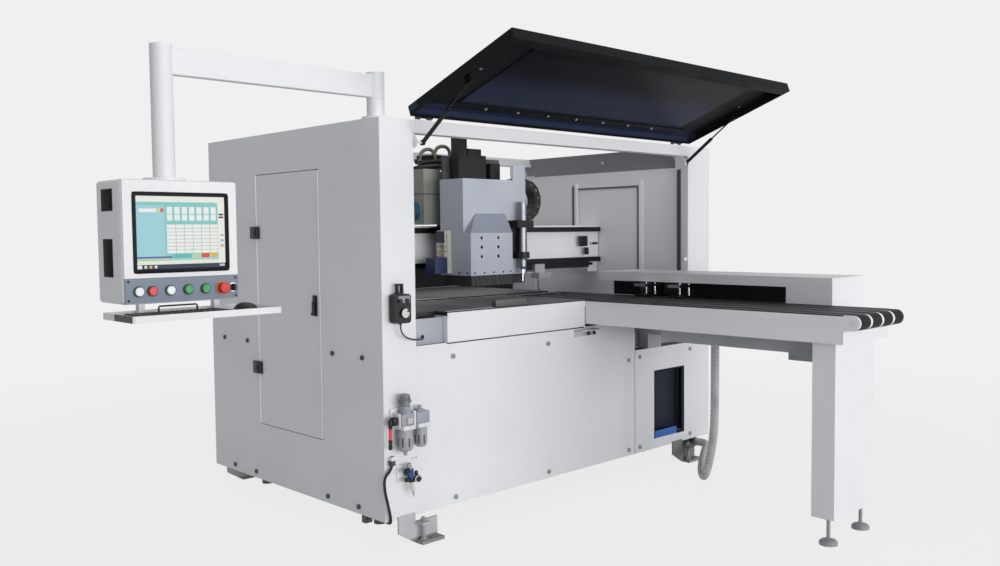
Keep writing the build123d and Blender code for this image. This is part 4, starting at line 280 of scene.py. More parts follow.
CHROME_ROD = ground_metal("chrome_rod", "#d3d5d8", (1, 1, 5), 0.12)
MACHINED = ground_metal("machined_aluminium", "#c9cbce", (4, 1, 1), 0.26)
ROUTER_STEEL = ground_metal("router_steel", "#8f9297", (1, 1, 5), 0.34)
STRIP_STEEL = ground_metal("strip_steel", "#c4c6c8", (0.2, 5, 5), 0.24)
SCREW_STEEL = ground_metal("screw_steel", "#d6d8da", (1, 1, 1), 0.22)
BRASS = ground_metal("fitting_brass", "#b39b6a", (1, 1, 3), 0.26)
RING_SILVER = ground_metal("ring_silver", "#d9dbde", (1, 1, 1), 0.24)
LENS_WHITE = lit_button("lens_white", "#dfe8e6", 0.04)
LENS_RED = lit_button("lens_red", "#c4231f", 0.12)
LENS_GREEN = lit_button("lens_green", "#1f8a45", 0.12)


# Finishes with marks of their own, each for one part of the machine
def shroud_coat():
    f = Finish("shroud_coat")
    cloud = f.ease(f.grain(3.2, detail=3.0), 0.35, 0.7)
    rub = f.ease(f.grain(40.0, (5, 5, 1), 3.0), 0.62, 0.74) * f.ease(f.grain(5.0), 0.5, 0.7)
    # Painted shade: the sloped face above the nose is coloured a darker grey-blue to stand in for the shade on
    # the slope.
    slope = (f.up(1309.5) > 0) & (f.deep(399.0) < 0)
    colour = f.over("#b3b8c4", ("#a4aab8", cloud * 0.6), ("#8f95a3", rub * 0.5), ("#7f8595", slope * 0.85))
    return f.close(colour, 0.40 + cloud * 0.10 + rub * 0.1, relief=(f.grain(420.0, detail=1.0), COAT_PEEL))


def from_hinge(f):
    """How far a point of the hood is from the hinge line, along the sheet."""
    return f.up(HINGE_Z) * sin(HOOD_TILT) - f.deep(HINGE_Y) * cos(HOOD_TILT)


def hood_coat():
    f = Finish("hood_coat")
    fold = from_hinge(f)
    level = f.up(HINGE_Z) * cos(HOOD_TILT) + f.deep(HINGE_Y) * sin(HOOD_TILT)
    lip = (fold > 604) & (level < 2)
    hinge_strip = (fold < 62) & (level > 10) & (level < 37.5)
    cloud = f.cloud(4.0)
    dust = f.ease(f.grain(30.0, (1, 4, 4), 4.0), 0.58, 0.8)
    colour = f.over("#141618", ("#1a1c1f", cloud * 0.6), ("#2f3750", hinge_strip * 0.9))
    colour = f.over(colour, ("#121518", lip * 0.8), ("#2c2f34", dust * 0.12))
    relief = (f.grain(380.0, detail=1.0), ROUGH_GRAIN)
    return f.close(colour, 0.50 + cloud * 0.14, relief=relief, Specular_IOR_Level=0.06)


def hood_pane():
    f = Finish("hood_pane")
    # Painted shade: the pane darkens from navy towards near-black away from the hinge.
    far = f.ease(from_hinge(f) + (f.grain(2.0) - 0.5) * 120.0, 250.0, 430.0)
    haze = f.ease(f.grain(12.0, (1, 3, 3), 4.0), 0.5, 0.8)
    colour = f.over("#2b3145", ("#16191d", far), ("#444b62", haze * 0.08))
    fixed = {"IOR": 1.49, "Alpha": 0.97, "Specular_IOR_Level": 0.03}
    return f.close(colour, 0.30 + haze * 0.14, relief=(f.grain(90.0), 0.00003), **fixed)


def phenolic_top():
    f = Finish("phenolic_top")
    lines = f.grain(70.0, (1.0, 0.06, 1.0), 4.0)
    wear = f.ease(f.grain(4.5, (1.0, 0.5, 1.0), 4.0), 0.45, 0.75)
    edge = f.up(969.2) < 0
    colour = f.over("#47484d", ("#5e5f65", f.ease(lines, 0.45, 0.8) * 0.5), ("#66676a", wear * 0.22))
    colour = f.mix(colour, "#1b1c1e", edge * 0.85)
    gloss = 0.34 + lines * 0.14 + wear * 0.12
    return f.close(colour, gloss, relief=(lines, LINE_DEPTH), Specular_IOR_Level=0.35)


def belt_weave():
    f = Finish("belt_weave")
    cloth = f.ease(ridges(f.y * 1000.0, 9.0) * 0.7 + ridges(f.x * 1000.0, 3.0) * 0.3, 0.2, 0.8)
    worn = f.ease(f.grain(14.0, (1, 0.3, 1), 4.0), 0.45, 0.8)
    colour = f.over("#111214", ("#1d1e21", cloth * 0.7), ("#2e2f31", worn * 0.35))
    return f.close(colour, 0.58 + worn * 0.14, relief=(cloth, 0.0006), Specular_IOR_Level=0.15)


def face_plates():
    f = Finish("console_plates")
    low = f.up(1171.7) < 0
    grain = f.grain(240.0, (0.1, 1, 1))
    blue = f.mix("#6c788b", "#7a8699", grain)
    ring = (f.deep(-25.2) < 0) & low
    inside = (SCREEN_X0 + 0.5, SCREEN_X1 - 0.5, -40, -17.5, SCREEN_Z0 + 0.5, SCREEN_Z1 - 0.5)
    pocket = f.within(*inside) & (f.deep(-21.5) > 0)
    colour = f.over("#e6e7ea", ("#d3d5d9", f.ease(f.grain(3.0), 0.4, 0.7) * 0.5), (blue, low))
    colour = f.over(colour, ("#191a1c", ring), ("#101113", pocket))
    return f.close(colour, 0.40 + grain * 0.10, relief=(grain, 0.00004))


def tray_finish():
    f = Finish("tray_finish")
    keys = f.within(-1089, -755, -191, -65, TRAY_Z + 0.1, 1057)
    mouse = f.within(-724, -656, -192, -88, TRAY_Z + 0.1, 1068)
    open_end = (f.across(-1109) < 0) & (f.deep(-60) < 0)
    dark = (keys | mouse) | open_end
    colour = f.over("#e3e4e6", ("#d2d3d6", f.ease(f.grain(5.0), 0.4, 0.7) * 0.5), ("#161719", dark))
    return f.close(colour, 0.42 + f.grain(30.0) * 0.1, relief=(f.grain(500.0), FINE_GRAIN))


def bin_shell():
    f = Finish("bin_shell")
    cloud = f.cloud(22.0)
    colour = f.over("#1b58ab", ("#2666b8", cloud * 0.5), ("#20263a", f.up(230) > 0))
    return f.close(colour, 0.42 + cloud * 0.1, relief=(f.grain(700.0), FINE_GRAIN))


def foot_coat():
    f = Finish("foot_coat")
    cloud = f.cloud(9.0)
    # Painted shade: the brackets right of x 1800 are darker grey; below 21 mm the colour is darker as well.
    colour = f.over("#b9bbbf", ("#7d7d79", f.across(1800) > 0), ("#8b8b88", f.up(21) < 0))
    colour = f.mix(colour, "#6d6e6d", cloud * 0.25)
    return f.close(colour, 0.45 + cloud * 0.12, relief=(f.grain(420.0), COAT_PEEL))


def pendant_finish():
    f = Finish("pendant_finish")
    cloud = f.cloud(22.0)
    plug = (f.up(376) > 0) & (f.up(520) < 0)
    colour = f.over("#1c1d1f", ("#2a2b2d", cloud * 0.4), ("#e0e2e6", plug))
    relief = (f.grain(900.0, detail=1.0), FINE_GRAIN)
    return f.close(colour, 0.4 + cloud * 0.12, relief=relief, Specular_IOR_Level=0.3)


def hinge_finish():
    f = Finish("hinge_finish")
    cloud = f.cloud(22.0)
    pale = f.mix("#e4e6ea", "#d2d4d8", cloud * 0.4)
    leaf = (f.across(20) > 0) & (f.up(1788) < 0)
    colour = f.over("#141517", ("#202225", cloud * 0.4), (pale, leaf))
    return f.close(colour, 0.42 + cloud * 0.1, relief=(f.grain(700.0), FINE_GRAIN))


def fastener_steel():
    f = Finish("fastener_steel")
    cloud = f.cloud(40.0, 3.0)
    colour = f.over("#2f3135", ("#989ba0", f.deep(0) < 0), ("#4b4d51", cloud * 0.3))
    return f.close(colour, 0.4 + cloud * 0.1, relief=(f.grain(700.0), FINE_GRAIN))


def dial_finish():
    f = Finish("dial_finish")
    radius = f.radius(f.across(80), f.up(985))
    face = (f.deep(-55.5) < 0) & (radius < 19.0)
    grooves = ridges(radius, 2.0)
    crank = f.deep(-56.5) < 0
    colour = f.over("#24262a", ("#d4d6d8", face), ("#a4a7ab", face * grooves * 0.5), ("#1a1b1d", crank))
    return f.close(colour, 0.35 - face * 0.1, relief=(grooves, ROUGH_GRAIN))


def rail_finish():
    f = Finish("rail_finish")
    guide = (f.deep(690.5) < 0) & (f.up(1110) > 0)
    block = f.within(1580, 1700, 600, 770, 1040, 1127)
    lines = f.grain(160.0, (0.15, 6, 6), 3.0)
    dark = f.mix("#2a2b2e", "#3d3f43", lines)
    colour = f.over("#8b8d91", ("#6a6c70", lines), (dark, guide * (1.0 - block)), ("#b9bbbf", block))
    return f.close(colour, 0.30 + lines * 0.18, 1.0 - block * 0.6, (lines, LINE_DEPTH))


def carriage_finish():
    f = Finish("carriage_finish")
    cover = f.within(700, 1012, 580, 812, 1350, 1650)
    cap = f.across(757.0) < 0
    seam = abs(f.up(1512)) < 3.0
    cloud = f.cloud(8.0)
    shell = f.over("#8f908b", ("#82837f", cloud), ("#4b4d50", seam))
    colour = f.over("#303236", ("#3d4045", cloud), (shell, cover), ("#1f4a68", cap * cover))
    return f.close(colour, 0.42 + cloud * 0.1, relief=(f.grain(500.0), ROUGH_GRAIN))


def head_plate_finish():
    f = Finish("head_plate_finish")
    motor = f.within(690, 783.8, 480, 580, 1100, 1188)
    bank = f.across(809.9) < 0
    cloud = f.cloud(12.0)
    pale = f.mix("#c5c3bb", "#aeaca4", cloud)
    colour = f.over("#3a3c40", ("#4a4c51", cloud), (pale, bank), ("#1a254d", motor))
    return f.close(colour, 0.42 + cloud * 0.12, relief=(f.grain(500.0), ROUGH_GRAIN))


def motor_casing():
    f = Finish("motor_casing")
    cloud = f.cloud(12.0)
    cut = f.ease(ridges(f.up(0), 14.0), 0.82, 0.95) * (f.deep(399.9) > 0)
    colour = f.over("#191a1b", ("#222325", cloud), ("#151617", cut * 0.5))
    return f.close(colour, 0.42 + cloud * 0.12, relief=(cut, 0.0006), Specular_IOR_Level=0.25)


def hose_rubber():
    f = Finish("hose_rubber")
    cloud = f.cloud(16.0)
    colour = f.mix("#c9cbcd", "#b2b5b8", cloud)
    return f.close(colour, 0.42 + cloud * 0.12, relief=(f.grain(300.0), ROUGH_GRAIN))


def clamp_beam_coat():
    f = Finish("clamp_beam_coat")
    cloud = f.cloud(5.0)
    colour = f.mix("#a6abac", "#9a9fa1", cloud)
    return f.close(colour, 0.45 + cloud * 0.1, relief=(f.grain(420.0, detail=1.0), ROUGH_GRAIN))


def screen_picture():
    f = Finish("screen_picture")
    shown = f.add("ShaderNodeVertexColor", {"layer_name": "picture"}, None, "Color")
    dots = ridges(f.x * 1000.0, 0.6)
    lit = f.mix(shown, (0.0, 0.0, 0.0, 1.0), dots * 0.08)
    dim = f.mix(shown, (0.01, 0.01, 0.012, 1.0), 0.85)
    fixed = {"Emission_Color": lit, "Emission_Strength": 0.72, "Specular_IOR_Level": 0.1}
    return f.close(dim, 0.16 + dots * 0.05, **fixed)


def cable_ends():
    f = Finish("cable_ends")
    pick = f.grain(26.0, detail=0.0)
    colour = f.over("#7d5330", ("#742f28", f.ease(pick, 0.40, 0.50)), ("#a07e3c", f.ease(pick, 0.52, 0.60)))
    return f.close(colour, 0.4 + pick * 0.1, relief=(f.grain(600.0), ROUGH_GRAIN))


def skirt_rubber():
    f = Finish("skirt_rubber")
    lines = f.grain(120.0, (1, 1, 0.2), 3.0)
    colour = f.mix("#161719", "#323438", f.ease(lines, 0.35, 0.8))
    return f.close(colour, 0.5 + lines * 0.15, relief=(lines, 0.0002))


BIN_SHELL = bin_shell()
FASTENER_STEEL = fastener_steel()
HOOD_COAT = hood_coat()
CLAMP_BEAM_COAT = clamp_beam_coat()
NODE_FINISHES = {
    WHITE_COAT: "left_side_panel tower_panels top_frame front_panel chute_panel table_beams cross_beam"
    " infeed_leg clamp_guard swing_arm console_shell cabinet_door",
    FRAME_COAT: "base_frame",
    foot_coat(): "floor_brackets",
    CLAMP_BEAM_COAT: "clamp_beam",
    BLACK_OXIDE: "door_fittings latch_paddle clamp_carriage lower_carriage",
    DRIVE_SHELL: "electrical_gear",
    BIN_SHELL: "chip_bin",
    hinge_finish(): "fixed_hinges",
    FASTENER_STEEL: "fasteners",
    phenolic_top(): "table_plates",
    rail_finish(): "linear_rails",
    belt_weave(): "conveyor_belts",
    MACHINED: "infeed_roller",
    ROUTER_STEEL: "router_body",
    CHROME_ROD: "clamp_jaws router_collet drills lower_drills",
    face_plates(): "console_face",
    tray_finish(): "keyboard_tray",
    LENS_WHITE: "button_white_left button_white_right",
    LENS_RED: "button_red",
    LENS_GREEN: "button_green_left button_green_right",
    STOP_RED: "estop",
    PENDANT_BLACK: "selector",
    pendant_finish(): "pendant",
    HOOD_COAT: "hood_frame",
    hood_pane(): "hood_window",
    STRUT_BLACK: "strut_tube_left strut_tube_right strut_rod_left strut_rod_right",
    carriage_finish(): "x_carriage",
    shroud_coat(): "head_shroud",
    head_plate_finish(): "head_plate",
    motor_casing(): "head_motors",
    LINK_BLACK: "chain_loop",
    dial_finish(): "pendant_dial",
}
for finish, names in NODE_FINISHES.items():
    for name in names.split():
        for place in NODES[name].material_slots:
            place.material = finish


def add_object(name, data):
    made = bpy.data.objects.new(name, data)
    bpy.context.scene.collection.objects.link(made)
    return made


def as_mesh(item):
    bpy.context.view_layer.update()
    return bpy.data.meshes.new_from_object(item.evaluated_get(bpy.context.evaluated_depsgraph_get()))


def smooth(mesh, sharp):
    for face in mesh.polygons:
        face.use_smooth = True
    mesh.set_sharp_from_angle(angle=radians(sharp))
    return mesh


class Shape:
    """A mesh in the making, in millimetres, with axes of its own where a piece is tilted."""

    def __init__(self, axes=PLAIN):
        self.bm = bmesh.new()
        self.axes = axes

    def box(self, x0, x1, y0, y1, z0, z1, bevel, steps=2):
        middle = Matrix.Translation(((x0 + x1) / 2, (y0 + y1) / 2, (z0 + z1) / 2))
        size = Matrix.Diagonal((x1 - x0, y1 - y0, z1 - z0, 1))
        made = bmesh.ops.create_cube(self.bm, size=1.0, matrix=middle @ size)
        edges = list({edge for vert in made["verts"] for edge in vert.link_edges})
        rounding = {"offset": bevel, "segments": steps, "profile": 0.5, "clamp_overlap": True}
        bmesh.ops.bevel(self.bm, geom=edges, affect="EDGES", **rounding)

    def stack(self, rings, closed=False):
        """Joins rings of points, or a point at an end, by faces; caps both ends unless the row is closed."""
        rows = rings + rings[:1] if closed else rings
        for lower, upper in zip(rows, rows[1:]):
            count = max(len(lower), len(upper))
            for i in range(count):
                j = (i + 1) % count
                quad = ((lower, i), (lower, j), (upper, j), (upper, i))
                corners = list(dict.fromkeys(ring[k % len(ring)] for ring, k in quad))
                if len(corners) > 2:
                    self.bm.faces.new(corners)
        for ring in () if closed else (rings[0], rings[-1]):
            if len(ring) > 1:
                self.bm.faces.new(ring)

    def ring(self, centre, side, front, radius, sides):
        turns = [2 * pi * i / sides for i in range(sides)]
        return [self.bm.verts.new(centre + side * (radius * cos(a)) + front * (radius * sin(a))) for a in turns]

    def turned(self, base, axis, profile, sides=24, closed=False):
        """Rings of (radius, height) along an axis from a base point, closed on itself for a washer."""
        up = Vector(axis).normalized()
        side = up.orthogonal().normalized()
        rings = []
        for radius, height in profile:
            centre = Vector(base) + up * height
            if radius > 0:
                rings.append(self.ring(centre, side, up.cross(side), radius, sides))
            else:
                rings.append([self.bm.verts.new(centre)])
        self.stack(rings, closed)

    def prism(self, points, depth):
        """A flat outline of 3-D points pushed along a depth vector."""
        low = [self.bm.verts.new(p) for p in points]
        high = [self.bm.verts.new(Vector(p) + Vector(depth)) for p in points]
        self.stack([low, high])

    def tube(self, points, radius, sides):
        """A round tube along points."""
        points = [Vector(p) for p in points]
        rings = []
        side = None
        for i, point in enumerate(points):
            ahead = points[min(i + 1, len(points) - 1)] - points[max(i - 1, 0)]
            ahead.normalize()
            side = ahead.orthogonal() if side is None else side - ahead * side.dot(ahead)
            side.normalize()
            rings.append(self.ring(point, side, ahead.cross(side), radius, sides))
        self.stack(rings)

    def mesh(self, name, finish, sharp):
        bmesh.ops.recalc_face_normals(self.bm, faces=self.bm.faces)
        self.bm.transform(TO_FRAME @ self.axes)
        mesh = bpy.data.meshes.new(name)
        self.bm.to_mesh(mesh)
        self.bm.free()
        mesh.materials.append(finish)
        return smooth(mesh, sharp)


def settle(name, mesh, body, replaced=()):
    made = add_object(name, mesh)
    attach(made, body)
    if replaced:
        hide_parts(*replaced)
    return made


def put(shape, name, body, finish, sharp=40, replaced=()):
    return settle(name, shape.mesh(name, finish, sharp), body, replaced)


def piece(
    name, body, slot, finish, prisms=(), boxes=(), turned=(), tubes=(), sharp=40, replaced=(), axes=PLAIN
):
    """One mesh of prisms, boxes, turned forms and tubes, each a row of what its method takes."""
    shape = Shape(axes)
    for make, rows in ((shape.prism, prisms), (shape.box, boxes), (shape.turned, turned), (shape.tube, tubes)):
        for row in rows:
            make(*row)
    return put(shape, name, body, finish, sharp, replaced)


class Pattern(Graph):
    """A Geometry Nodes tree with named sizes in millimetres; what it makes becomes one plain mesh."""

    def __init__(self, name, labels):
        super().__init__(bpy.data.node_groups.new(name, "GeometryNodeTree"))
        sockets = self.tree.interface
        sockets.new_socket("Geometry", in_out="INPUT", socket_type="NodeSocketGeometry")
        for label in labels:
            sockets.new_socket(label, in_out="INPUT", socket_type="NodeSocketFloat")
        sockets.new_socket("Finish", in_out="INPUT", socket_type="NodeSocketMaterial")
        sockets.new_socket("Geometry", in_out="OUTPUT", socket_type="NodeSocketGeometry")
        self.entry = self.tree.nodes.new("NodeGroupInput")

    def given(self, label):
        return Wire(self, self.entry.outputs[label])

    def size(self, label):
        return self.given(label) * 0.001

    def named(self, label):
        return self.add("GeometryNodeInputNamedAttribute", {"data_type": "FLOAT_VECTOR"}, {"Name": label})

    def vector(self, x, y, z):
        return self.add("ShaderNodeCombineXYZ", None, {0: x, 1: y, 2: z})

    def stand_on_spots(self, solid, height):
        """Lifts a solid onto its base and sets one on each spot."""
        lift = {"Geometry": solid, "Translation": self.vector(0.0, 0.0, height * 0.5)}
        solid = self.add("GeometryNodeTransform", None, lift)
        turn = self.add("FunctionNodeAlignRotationToVector", {"axis": "Z"}, {"Vector": self.named("facing")})
        placed = {"Points": self.given("Geometry"), "Instance": solid, "Rotation": turn}
        placed["Scale"] = self.named("stretch")
        self.end(self.add("GeometryNodeInstanceOnPoints", None, placed))

    def end(self, geometry):
        real = self.add("GeometryNodeRealizeInstances", None, {"Geometry": geometry})
        painted = {"Geometry": real, "Material": self.given("Finish")}
        self.sink("NodeGroupOutput", self.add("GeometryNodeSetMaterial", None, painted))

    def mesh(self, carrier, finish, sizes, sharp=35):
        modifier = carrier.modifiers.new("pattern", "NODES")
        modifier.node_group = self.tree
        for item in self.tree.interface.items_tree:
            if item.in_out == "INPUT" and item.name == "Finish":
                modifier[item.identifier] = finish
            elif item.in_out == "INPUT" and item.name in sizes:
                modifier[item.identifier] = float(sizes[item.name])
        mesh = as_mesh(carrier)
        bpy.data.objects.remove(carrier)
        return smooth(mesh, sharp)


def socket_screw_tree():
    t = Pattern("socket_screws", ("Head Radius", "Head Height", "Socket Share"))
    height = t.size("Head Height")
    head = {"Vertices": 14, "Radius": t.size("Head Radius"), "Depth": height}
    made, top = t.outs(t.add("GeometryNodeMeshCylinder", None, head))[:2]
    rim = {"Mesh": made, "Selection": top, "Offset Scale": 0.0, "Individual": False}
    made, top = t.outs(t.add("GeometryNodeExtrudeMesh", None, rim))[:2]
    inner = {"Geometry": made, "Selection": top, "Scale": t.given("Socket Share")}
    made = t.add("GeometryNodeScaleElements", None, inner)
    sunk = {"Mesh": made, "Selection": top, "Offset Scale": height * -0.6, "Individual": False}
    t.stand_on_spots(t.add("GeometryNodeExtrudeMesh", None, sunk), height)
    return t


def tapered_block_tree():
    t = Pattern("tapered_blocks", ("Width", "Depth", "Height", "Taper"))
    height = t.size("Height")
    block = t.add("GeometryNodeMeshCube", None, {"Size": t.vector(t.size("Width"), t.size("Depth"), height)})
    normal = t.outs(t.add("ShaderNodeSeparateXYZ", None, {0: t.add("GeometryNodeInputNormal")}))[2]
    top = {"Geometry": block, "Selection": normal > 0.5, "Scale": t.given("Taper")}
    t.stand_on_spots(t.add("GeometryNodeScaleElements", None, top), height)
    return t


def ribbed_tube_tree():
    t = Pattern("ribbed_tube", ("Radius", "Rib Depth", "Rib Pitch"))
    pitch = t.size("Rib Pitch")
    line = {"Curve": t.given("Geometry"), "Length": pitch / 6.0}
    line = t.add("GeometryNodeResampleCurve", {"mode": "LENGTH"}, line)
    run = t.outs(t.add("GeometryNodeSplineParameter"))[1]
    wave = t.add("ShaderNodeMath", {"operation": "COSINE"}, {0: run / pitch * (2 * pi)})
    size = t.size("Radius") - t.size("Rib Depth") * (0.5 + wave * 0.5)
    circle = t.add("GeometryNodeCurvePrimitiveCircle", None, {"Resolution": 18, "Radius": 1.0})
    swept = {"Curve": line, "Profile Curve": circle, "Scale": size, "Fill Caps": True}
    t.end(t.add("GeometryNodeCurveToMesh", None, swept))
    return t


SOCKET_SCREWS = socket_screw_tree()
TAPERED_BLOCKS = tapered_block_tree()
RIBBED_TUBE = ribbed_tube_tree()


def repeat(tree, name, spots, body, finish, sizes, axes=PLAIN):
    """Sets a tree's solid on spots, each a place, the way it faces and, if need be, a stretch."""
    mesh = bpy.data.meshes.new(name)
    mesh.from_pydata([TO_FRAME @ axes @ Vector(place) for place, *_ in spots], [], [])
    turn = axes.to_3x3()
    ways = [turn @ Vector(way) for _, way, *_ in spots]
    stretches = [stretch[0] if stretch else (1, 1, 1) for _, _, *stretch in spots]
    for label, values in (("facing", ways), ("stretch", stretches)):
        layer = mesh.attributes.new(label, "FLOAT_VECTOR", "POINT")
        layer.data.foreach_set("vector", [float(c) for value in values for c in value])
    return settle(name, tree.mesh(add_object(name, mesh), finish, sizes), body)


def screws(name, spots, body, finish, radius, height, share=0.5, axes=PLAIN):
    sizes = {"Head Radius": radius, "Head Height": height, "Socket Share": share}
    repeat(SOCKET_SCREWS, name, spots, body, finish, sizes, axes)


def blocks(name, spots, body, finish, width, depth, height, taper=1):
    sizes = {"Width": width, "Depth": depth, "Height": height, "Taper": taper}
    repeat(TAPERED_BLOCKS, name, spots, body, finish, sizes)


def ribbed(name, line, body, finish, radius, depth, pitch, replaced=()):
    sizes = {"Radius": radius, "Rib Depth": depth, "Rib Pitch": pitch}
    return settle(name, RIBBED_TUBE.mesh(line, finish, sizes, 70), body, replaced)


# Cords: the supply cable, the lead of the hand pendant and the ribbed dust hose
def route(name, points, thickness):
    curve = bpy.data.curves.new(name, "CURVE")
    curve.dimensions = "3D"
    spline = curve.splines.new("NURBS")
    spline.points.add(len(points) - 1)
    for knot, point in zip(spline.points, points):
        knot.co = (*spot(*point), 1.0)
    spline.order_u = 3
    spline.use_endpoint_u = True
    curve.resolution_u = 12
    if thickness:
        curve.bevel_depth = thickness / 2000
        curve.bevel_resolution = 4
        curve.use_fill_caps = True
    return add_object(name, curve)


MAINS_POINTS = [
    (28, -16, 358),
    (20, -16, 336),
    (-14, -16, 311),
    (-13, -16, 256),
    (5, -16, 190),
    (21, -16, 112),
    (22, 20, 110),
    (22, 138, 111),
]
LEAD_POINTS = [
    (73, -28, 936),
    (73, -28, 908),
    (101, -28, 880),
    (147, -28, 867),
    (194, -24, 864),
    (226, 10, 869),
    (228, 54, 875),
    (186, 54, 875),
]
HOSE_POINTS = [
    (1790, -420, 735),
    (1790, -420, 480),
    (1776, -424, 250),
    (1776, -372, 27),
    (1900, -262, 27),
    (2060, -176, 84),
    (2200, -108, 112),
    (2245, 5, 88),
]


def plain_cord(name, points, thickness, finish):
    cord = route(name, points, thickness)
    cord.data.materials.append(finish)
    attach(cord, "machine")
    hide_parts(name.replace("_cord", ""))


plain_cord("mains_cable_cord", MAINS_POINTS, 12, LEAD_BLACK)
plain_cord("pendant_cable_cord", LEAD_POINTS, 6, LEAD_BLACK)
hose_line = route("hose_line", HOSE_POINTS, 0)
hose_path = [tuple(vert.co) for vert in as_mesh(hose_line).vertices]
hose = ribbed("ribbed_hose", hose_line, "machine", hose_rubber(), 22.5, 2.4, 20.0, ("dust_hose",))

# Dust skirt: rubber strips that flare a little outwards at the lower end
STRIP_STEP, STRIP_WIDE, STRIP_THICK = 28, 27, 2.7
STRIP_BENDS = ((1112, 0.0), (1085, 0.1), (1064, 0.5), (1046, 1.0))


def skirt_strips():
    skirt = Shape()
    rows = [(814.5 + i * STRIP_STEP, 349.3, False, -1) for i in range(10)]
    rows += [(813.3, 356 + i * STRIP_STEP, True, -1) for i in range(7)]
    rows += [(1104 + i * STRIP_STEP, 403.3, False, -1) for i in range(5)]
    rows += [(1247, 410 + i * STRIP_STEP, True, 1) for i in range(5)]
    for n, (x, y, sideways, out) in enumerate(rows):
        sway = out * (2.0 + 3.0 * ((n * 7) % 5) / 4)
        slip = 1.2 * (((n * 11) % 7) / 6 - 0.5)
        dx, dy = (sway, slip) if sideways else (slip, sway)
        wide, deep = (STRIP_THICK, STRIP_WIDE) if sideways else (STRIP_WIDE, STRIP_THICK)
        rings = []
        for z, push in STRIP_BENDS:
            corners = ((0, 0), (wide, 0), (wide, deep), (0, deep))
            rings.append([skirt.bm.verts.new((x + a + dx * push, y + b + dy * push, z)) for a, b in corners])
        skirt.stack(rings)
    return skirt


put(skirt_strips(), "skirt_strips", "head", skirt_rubber(), 40, ("dust_skirt",))

# Inside of the machine: rear curtain, apron, linings and the brush beside the drilling gap, the curtain, apron,
# dark lining and brush coloured as painted shade
CURTAIN_TOP, CURTAIN_DROP = 1115, 140
piece("curtain_rail", "machine", "frame_paint", FRAME_COAT, boxes=[(176.5, WALL_X, 1432, 1450, 1112, 1150, 2)])
# Painted shade: a curtain of strips at the rear whose black also stands in for the shaded structure behind the
# table.
strips = []
for i in range(51):
    x = 200 + 39.6 * i
    low = 971 if x < 1700 else 860
    strips.append(((x, 1441, low), UP, (1, 1, (CURTAIN_TOP - low) / CURTAIN_DROP)))
blocks("rear_curtain", strips, "machine", CURTAIN_SHADE_BLACK, 41, 3, CURTAIN_DROP)
# Painted shade: the apron is lilac-grey for the shade it lies in.
piece("inner_apron", "machine", "white_paint", APRON_PAINTED_SHADE, boxes=[(177, 345.5, 20, 23, 812, 947, 0.8)])
grommet = [(3.2, 0), (8, 0), (8, 2), (6, 4), (3.2, 4)]
grommet = ((227, 20, 870), FRONT, grommet, 20, True)
piece("lead_grommet", "machine", "plastic_black", PUSH_BLACK, turned=[grommet])
# Painted shade: a dark sheet inside the clamp guard stands in for the shade behind the slot.
piece("guard_shade_sheet", "machine", "black_steel", SHADED_COAT, boxes=[(2000, 2003, -866, 257, 905, 1086, 0.8)])
piece("notch_backing", "machine", "grey_paint", CLAMP_BEAM_COAT, boxes=[(1672, 2186, 76, 79, 677, 757, 0.8)])
# Painted shade: a brush and holder whose black stands in for the shade in the rear of the slot.
holder = (1688.4, 1689.9, -24, 158, 1036, 1044, 0.3, 1)
piece("slot_brush_holder", "machine", "black_steel", SLOT_SHADE_BLACK, boxes=[holder])
bristles = [((1689.2, -22 + 4 * i, TABLE_Z + 2), UP) for i in range(45)]
blocks("slot_brush", bristles, "machine", SLOT_SHADE_BLACK, 1.2, 4.4, 68)

# Chip chute: lining, flap, dark edging round the opening and the lip of the bin
chute = [(1800, 2150, 441, 444, 140, 600, 0.8), (1800, 1803, 24, 441, 140, 600, 0.8)]
chute += [(2147, 2150, 24, 441, 140, 600, 0.8), (1803, 2147, 24, 441, 597, 600, 0.8)]
piece("chute_lining", "machine", "frame_paint", CHUTE_NAVY, boxes=chute)
piece("chute_flap", "machine", "skirt_rubber", FLAP_NAVY, boxes=[(1803, 2147, 44, 47, 196, 597, 0.8)])
edging = [(1840, 1849, 170, 548), (2099, 2122, 170, 548), (2046, 2099, 170, 190), (1849, 2099, 540, 548)]
edging = [(x0, x1, *TRIM_Y, z0, z1, 0.5, 1) for x0, x1, z0, z1 in edging]
returns = [(2098.6, 2101.4, 186, 544), (1846.6, 1849.4, 186, 544), (1849, 2099, 540, 543)]
edging += [(x0, x1, 0.2, 24, z0, z1, 0.5, 1) for x0, x1, z0, z1 in returns]
piece("chute_edging", "machine", "plastic_black", EDGE_NAVY, boxes=edging)
piece("bin_front_lip", "machine", "bin_plastic", BIN_SHELL, boxes=[(1849, 2046, *TRIM_Y, 172, 213, 0.5, 1)])

# Right wall and column: sloped top in painted shade, dark strips of painted shadow, ridges, the column's
# return, strut mount and knob
# Painted shade: the sloped top of the wall is mid-grey for the shade that falls on it.
slope = [(WALL_X, 60, 1672), (2140, 60, 1784), (2143, 60, 1784.5), (2191.8, 60, 1679)]
piece("sloped_wall_top", "machine", "white_paint", WALL_CAP_PAINTED_SHADE, prisms=[(slope, (0, 1232, 0))])
